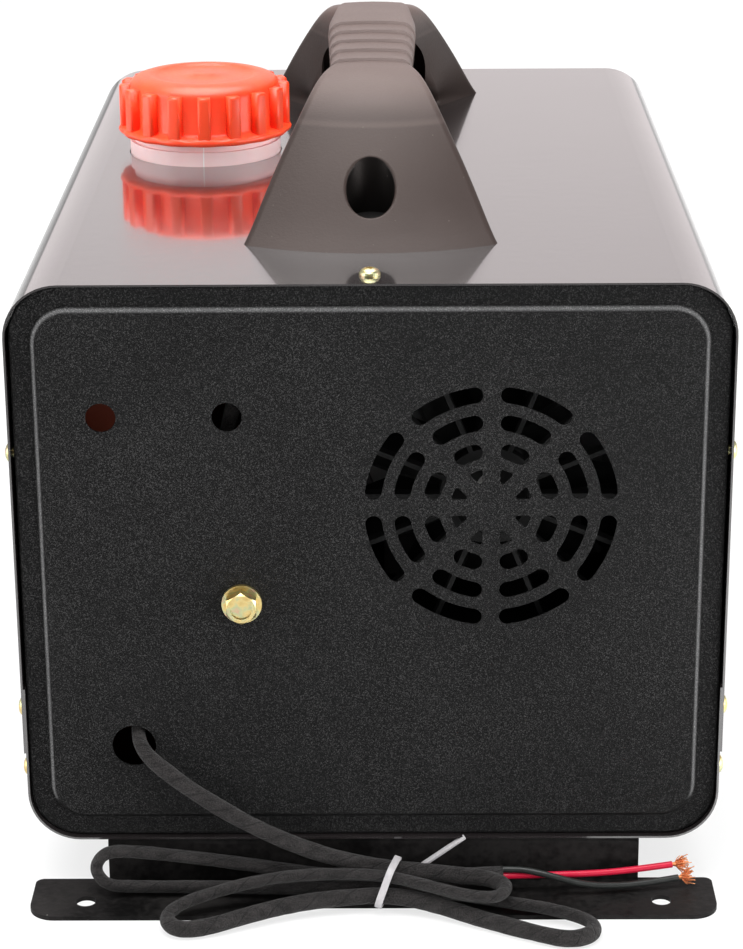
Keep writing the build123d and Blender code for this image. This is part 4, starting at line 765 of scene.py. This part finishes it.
for index in range(rib_count):
    rib = bmesh.ops.create_cube(cap_shape, size=1)["verts"]
    for vertex in rib:
        spread = rib_foot_spread if vertex.co.z < 0 else 1.0
        vertex.co = (
            (rib_root + rib_reach) / 2 + vertex.co.x * (rib_reach - rib_root),
            vertex.co.y * rib_width * spread,
            (rib_low + rib_high) / 2 + vertex.co.z * (rib_high - rib_low),
        )
    edges = {edge for vertex in rib for edge in vertex.link_edges}
    outer = [edge for edge in edges if min(end.co.x for end in edge.verts) > skirt_radius]
    whole = rounded(cap_shape, outer, rib_rounding)
    turn = Matrix.Rotation(first_rib + index * 2 * math.pi / rib_count, 3, "Z")
    bmesh.ops.rotate(cap_shape, verts=whole, cent=(0, 0, 0), matrix=turn)
bmesh.ops.translate(cap_shape, verts=cap_shape.verts, vec=cap_centre)
cap_plastic = Finish(
    "orange_plastic", Subsurface_Weight=0.55, Specular_IOR_Level=0.5, Coat_Weight=0.15, Coat_Roughness=0.25
)
cap_plastic.shader.inputs["Subsurface Radius"].default_value = (0.006, 0.0018, 0.0006)
scuff = cap_plastic.grain(0.0015, 3)
cap_tone = cap_plastic.blend(cap_plastic.grain(0.012, 3), (0.97, 0.055, 0.011), (1.0, 0.088, 0.023))
cap_tone = cap_plastic.blend(cap_plastic.specks(0.009, 0.0002, 0.25), cap_tone, (1.0, 0.7, 0.5))
cap_plastic.surface(Base_Color=cap_tone, Roughness=0.34 + 0.14 * scuff)
cap_plastic.bump(scuff, 0.00003)
cap = new_piece("screw_cap", cap_shape, cap_plastic, "cap_body")
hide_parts("filler_cap")
seal_rubber = Finish("seal_rubber", Specular_IOR_Level=0.3)
seal_rubber.mottled(0.004, (0.012, 0.012, 0.012), (0.03, 0.03, 0.03), 0.7)
seal_shape = turned([
    (seal_inner, seal_low), (seal_outer, seal_low), (seal_outer, seal_high), (seal_inner, seal_high),
    (seal_inner, seal_low),
])
bmesh.ops.translate(seal_shape, verts=seal_shape.verts, vec=cap_centre)
seal = new_piece("flat_seal", seal_shape, seal_rubber, "cap_ring", smooth=False)
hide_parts("cap_seal")
dress(seal_rubber, "flange_gasket", "pump_clamp", "tank_pads")


# ---------------------------------------------------------------- fuel tank
# Blow-moulded in milky polyethylene with a pinkish tint. The neck stands
# through the case top with a fine parting line, and the tank is glimpsed
# through the panel's upper left hole. Below the case top the tank is painted
# dark red-brown: painted shade for the dark inside of the case.
parting_x = -0.064
parting_half_width = 0.00022
milky = Finish("milky_polyethylene", Subsurface_Weight=0.3, Specular_IOR_Level=0.4)
milky.shader.inputs["Subsurface Radius"].default_value = (0.004, 0.0025, 0.002)
skin = milky.grain(0.01, 3)
spot = milky.split(milky.place())
parting_line = (spot[0] - parting_x).size().under(parting_half_width)
neck_tone = milky.blend(skin, (0.94, 0.62, 0.62), (0.98, 0.75, 0.75))
neck_tone = milky.blend(parting_line, neck_tone, (1.0, 0.93, 0.93))
# Dark red-brown below the case top is painted shade inside the case.
shaded_tank_tone = milky.blend(skin, (0.46, 0.085, 0.045), (0.6, 0.14, 0.08))
shaded_tank_tone = milky.blend(spot[2].soft_step(0.200, 0.216), shaded_tank_tone, neck_tone)
milky.surface(Base_Color=shaded_tank_tone, Roughness=0.42 + 0.12 * skin)
milky.bump(milky.grain(0.0012), 0.00004)
dress(milky, "fuel_tank")
dress(plated, "tank_fitting")


# ---------------------------------------------------------------- carrying handle
# Moulded in black-brown glass-filled nylon: two flared legs and a stepped
# grip, with a faint mould line and a screw well in each leg. The grip and its
# step risers are painted lighter as a painted highlight for the light on them,
# and each well's inside is painted near black as painted shade.
well_y = 0.1152
well_radius = 0.0083
mould_line_low = 0.2522
mould_line_high = 0.2550
handle_nylon = Finish("handle_nylon", Specular_IOR_Level=0.27, Specular_Tint=(1, 0.88, 0.84, 1))
pebbles = handle_nylon.grain(0.0009, 2)
broad = handle_nylon.grain(0.03, 3)
spot = handle_nylon.split(handle_nylon.place())
from_middle = spot[1].size()
from_well = from_middle - well_y
well_painted_shade = (spot[0] * spot[0] + from_well * from_well).under(well_radius ** 2)
line_starts = spot[2].soft_step(mould_line_low, mould_line_low + 0.0010)
line_ends = spot[2].soft_step(mould_line_high - 0.0016, mould_line_high)
# Faces looking along the handle, the grip's step risers, are painted lighter still: a painted highlight.
lit_risers = handle_nylon.facing()[1].size().soft_step(0.75, 0.95)
# The grip's lighter tone is a painted highlight for the light on its top; the mould line borrows a little
# of it.
lit_grip_tone = handle_nylon.blend(broad, (0.094, 0.068, 0.062), (0.132, 0.100, 0.092))
leg_tone = handle_nylon.blend(broad, (0.022, 0.0146, 0.0128), (0.032, 0.0222, 0.0196))
leg_tone = handle_nylon.blend((line_starts - line_ends) * 0.2, leg_tone, lit_grip_tone)
# The near-black inside each screw well is painted shade.
leg_tone = handle_nylon.blend(well_painted_shade, leg_tone, (0.0025, 0.0022, 0.0021))
lit_grip_tone = handle_nylon.blend(lit_risers, lit_grip_tone, (0.235, 0.188, 0.177))
# Painted highlight: the grip region takes the lighter tone.
grip_painted_light = spot[2].soft_step(0.252, 0.268) * (1 - from_middle.soft_step(0.086, 0.099))
handle_tone = handle_nylon.blend(grip_painted_light, leg_tone, lit_grip_tone)
fibres = handle_nylon.specks(0.0026, 0.0002, 0.4) * 0.6
handle_tone = handle_nylon.blend(fibres, handle_tone, (0.16, 0.145, 0.13))
handle_nylon.surface(Base_Color=handle_tone, Roughness=0.42 + 0.12 * pebbles)
handle_nylon.bump(pebbles, 0.00005)
dress(handle_nylon, "carrying_handle")


# ---------------------------------------------------------------- heater unit
# Plastic jacket round a finned die-cast exchanger, with the burner, the
# blower, the motor and two fans on one shaft inside it.
jacket_plastic = Finish("jacket_plastic", Specular_IOR_Level=0.35)
jacket_plastic.mottled(0.0012, (0.006, 0.006, 0.006), (0.013, 0.013, 0.013), 0.5, 0.15, 0.00005)
dress(jacket_plastic, "jacket_cover", "jacket_base", "intake_guard", "outlet_hood")
dress(jacket_plastic, "heating_fan", "control_unit")
die_cast = Finish("die_cast_aluminium", Metallic=1.0)
die_cast.mottled(0.0015, (0.42, 0.42, 0.43), (0.6, 0.6, 0.6), 0.46, 0.2, 0.0001, detail=3)
dress(die_cast, "blower_housing", "combustion_fan", "heat_exchanger")
bare_steel = Finish("bare_steel", Metallic=1.0)
bare_steel.mottled(0.004, (0.42, 0.41, 0.4), (0.6, 0.59, 0.58), 0.3, 0.2, detail=3, stretch=(1, 1, 8))
dress(bare_steel, "fan_motor", "rotor_shaft", "combustion_air_stub", "exhaust_stub", "burner")
brass = Finish("brass", Metallic=1.0)
brass.mottled(0.003, (0.6, 0.42, 0.18), (0.78, 0.6, 0.32), 0.3)
dress(brass, "glow_plug")


# ---------------------------------------------------------------- fuel pump
# Steel-bodied metering pump in a rubber clamp, with rubber hoses, a small
# milky filter and the thin fuel pipe to the burner.
dress(bare_steel, "pump_body", "pump_plunger", "pump_spring")
hose = Finish("fuel_hose", Specular_IOR_Level=0.4)
hose.mottled(0.002, (0.012, 0.012, 0.012), (0.03, 0.03, 0.03), 0.45)
dress(hose, "suction_hose", "fuel_pipe")
filter_shell = Finish("filter_shell", Subsurface_Weight=0.2, Specular_IOR_Level=0.5)
filter_shell.mottled(0.006, (0.6, 0.58, 0.5), (0.75, 0.74, 0.7), 0.3)
dress(filter_shell, "fuel_filter")


# ---------------------------------------------------------------- warm-air outlet and control panel
# A round plastic collar for the warm-air hose and a flush control panel
# with four rubber keys under a dark screen, on the far end of the case.
moulded_black = Finish("moulded_black", Specular_IOR_Level=0.4)
moulded_black.mottled(0.0008, (0.012, 0.012, 0.0125), (0.02, 0.02, 0.02), 0.42, 0.1, 0.00004)
dress(moulded_black, "outlet_duct_ring", "keypad_housing")
dark_screen = Finish("dark_screen", Coat_Weight=1.0, Coat_Roughness=0.04)
dark_screen.mottled(0.02, (0.004, 0.007, 0.012), (0.008, 0.012, 0.02), 0.2)
dress(dark_screen, "keypad_screen")
key_rubber = Finish("key_rubber", Specular_IOR_Level=0.3)
key_rubber.mottled(0.0009, (0.09, 0.09, 0.095), (0.13, 0.13, 0.135), 0.62)
key_rubber.bump(key_rubber.grain(0.0005), 0.00004)
dress(key_rubber, "power_button", "raise_button", "lower_button", "settings_button")


# ---------------------------------------------------------------- floor and light
# A white studio sweep. The camera sees it as white, mirror-like surfaces see
# it bright to the right and behind, and soft lamps from above, both sides,
# in front and behind light the heater.
glow_share = 0.72
mirror_dimming = 0.9
sweep = Finish("studio_white", Base_Color=(0.86, 0.86, 0.86, 1), Roughness=0.9, Specular_IOR_Level=0.0)
rays = sweep.add("ShaderNodeLightPath")
glow = sweep.add("ShaderNodeEmission", None, {"Strength": 1.0})[0]
paint = Wire(sweep, sweep.shader.outputs[0])
white = sweep.add("ShaderNodeMixShader", None, {0: rays[0] * glow_share, 1: paint, 2: glow})[0]
spot = sweep.split(sweep.place())
lit_part = spot[1].soft_step(-1.1, -0.3) * (0.45 + 0.55 * spot[0].soft_step(-0.35, 0.35))
darker = rays[3] * (mirror_dimming - mirror_dimming * lit_part)
shade = sweep.add("ShaderNodeBsdfDiffuse", None, {"Color": (0.02, 0.02, 0.02, 1)})[0]
dimmed = sweep.add("ShaderNodeMixShader", None, {0: darker, 1: white, 2: shade})[0]
sweep.feed(sweep.tree.nodes["Material Output"].inputs["Surface"], dimmed)
ground = bmesh.new()
bmesh.ops.create_grid(ground, x_segments=1, y_segments=1, size=6)
floor_mesh = bpy.data.meshes.new("floor")
ground.to_mesh(floor_mesh)
ground.free()
floor_mesh.materials.append(sweep.material)
floor = bpy.data.objects.new("floor", floor_mesh)
bpy.context.collection.objects.link(floor)


class Surroundings(Finish):
    """The light from all round the heater, mixed from nodes as a finish is."""

    def __init__(self, name):
        self.world = bpy.data.worlds.new(name)
        self.world.use_nodes = True
        self.tree = self.world.node_tree
        self.shader = self.tree.nodes["Background"]


room = Surroundings("studio")
bpy.context.scene.world = room.world
rays = room.add("ShaderNodeLightPath")
sky_heading = room.split(room.add("ShaderNodeTexCoord")[0])
in_mirrors = 0.1 + 0.35 * sky_heading[1].soft_step(-0.35, 0.35)
on_heater = 0.6
strength = room.add("ShaderNodeMix", None, {0: rays[3], 2: on_heater, 3: in_mirrors})[0]
room.surface(
    Color=room.blend(rays[3], (1, 1, 1), (1, 0.92, 0.925)),
    Strength=room.add("ShaderNodeMix", None, {0: rays[0], 2: strength, 3: 1.0})[0],
)


def lamp(name, place, target, size, power, colour=(1, 1, 1)):
    """Soft rectangular lamp that faces the target."""
    light = bpy.data.lights.new(name, "AREA")
    light.color = colour
    light.shape = "RECTANGLE"
    light.size, light.size_y = size
    light.energy = power
    holder = bpy.data.objects.new(name, light)
    aim = Vector(target) - Vector(place)
    holder.matrix_world = Matrix.Translation(place) @ aim.to_track_quat("-Z", "Y").to_matrix().to_4x4()
    bpy.context.collection.objects.link(holder)


lamp("top_softbox", (-0.1, 0.05, 1.6), (0, 0, 0.15), (1.7, 1.3), 42)
lamp("left_softbox", (-1.7, -0.8, 0.9), (0, 0, 0.12), (1.0, 1.2), 12)
lamp("right_softbox", (1.5, -1.0, 0.35), (0, 0, 0.1), (0.9, 0.8), 20)
lamp("left_strip", (-1.2, -0.2, 0.2), (-0.1, -0.15, 0.12), (0.7, 0.8), 5)
lamp("right_strip", (1.2, -0.2, 0.2), (0.1, -0.15, 0.12), (0.7, 0.8), 5)
lamp("front_strip", (0, -0.78, 1.5), (0, -0.17, 0.2), (1.4, 0.3), 3)
lamp("rear_screen", (0.0, 2.4, 0.9), (0, 0, 0.2), (2.8, 1.6), 7.2, (1, 0.92, 0.925))
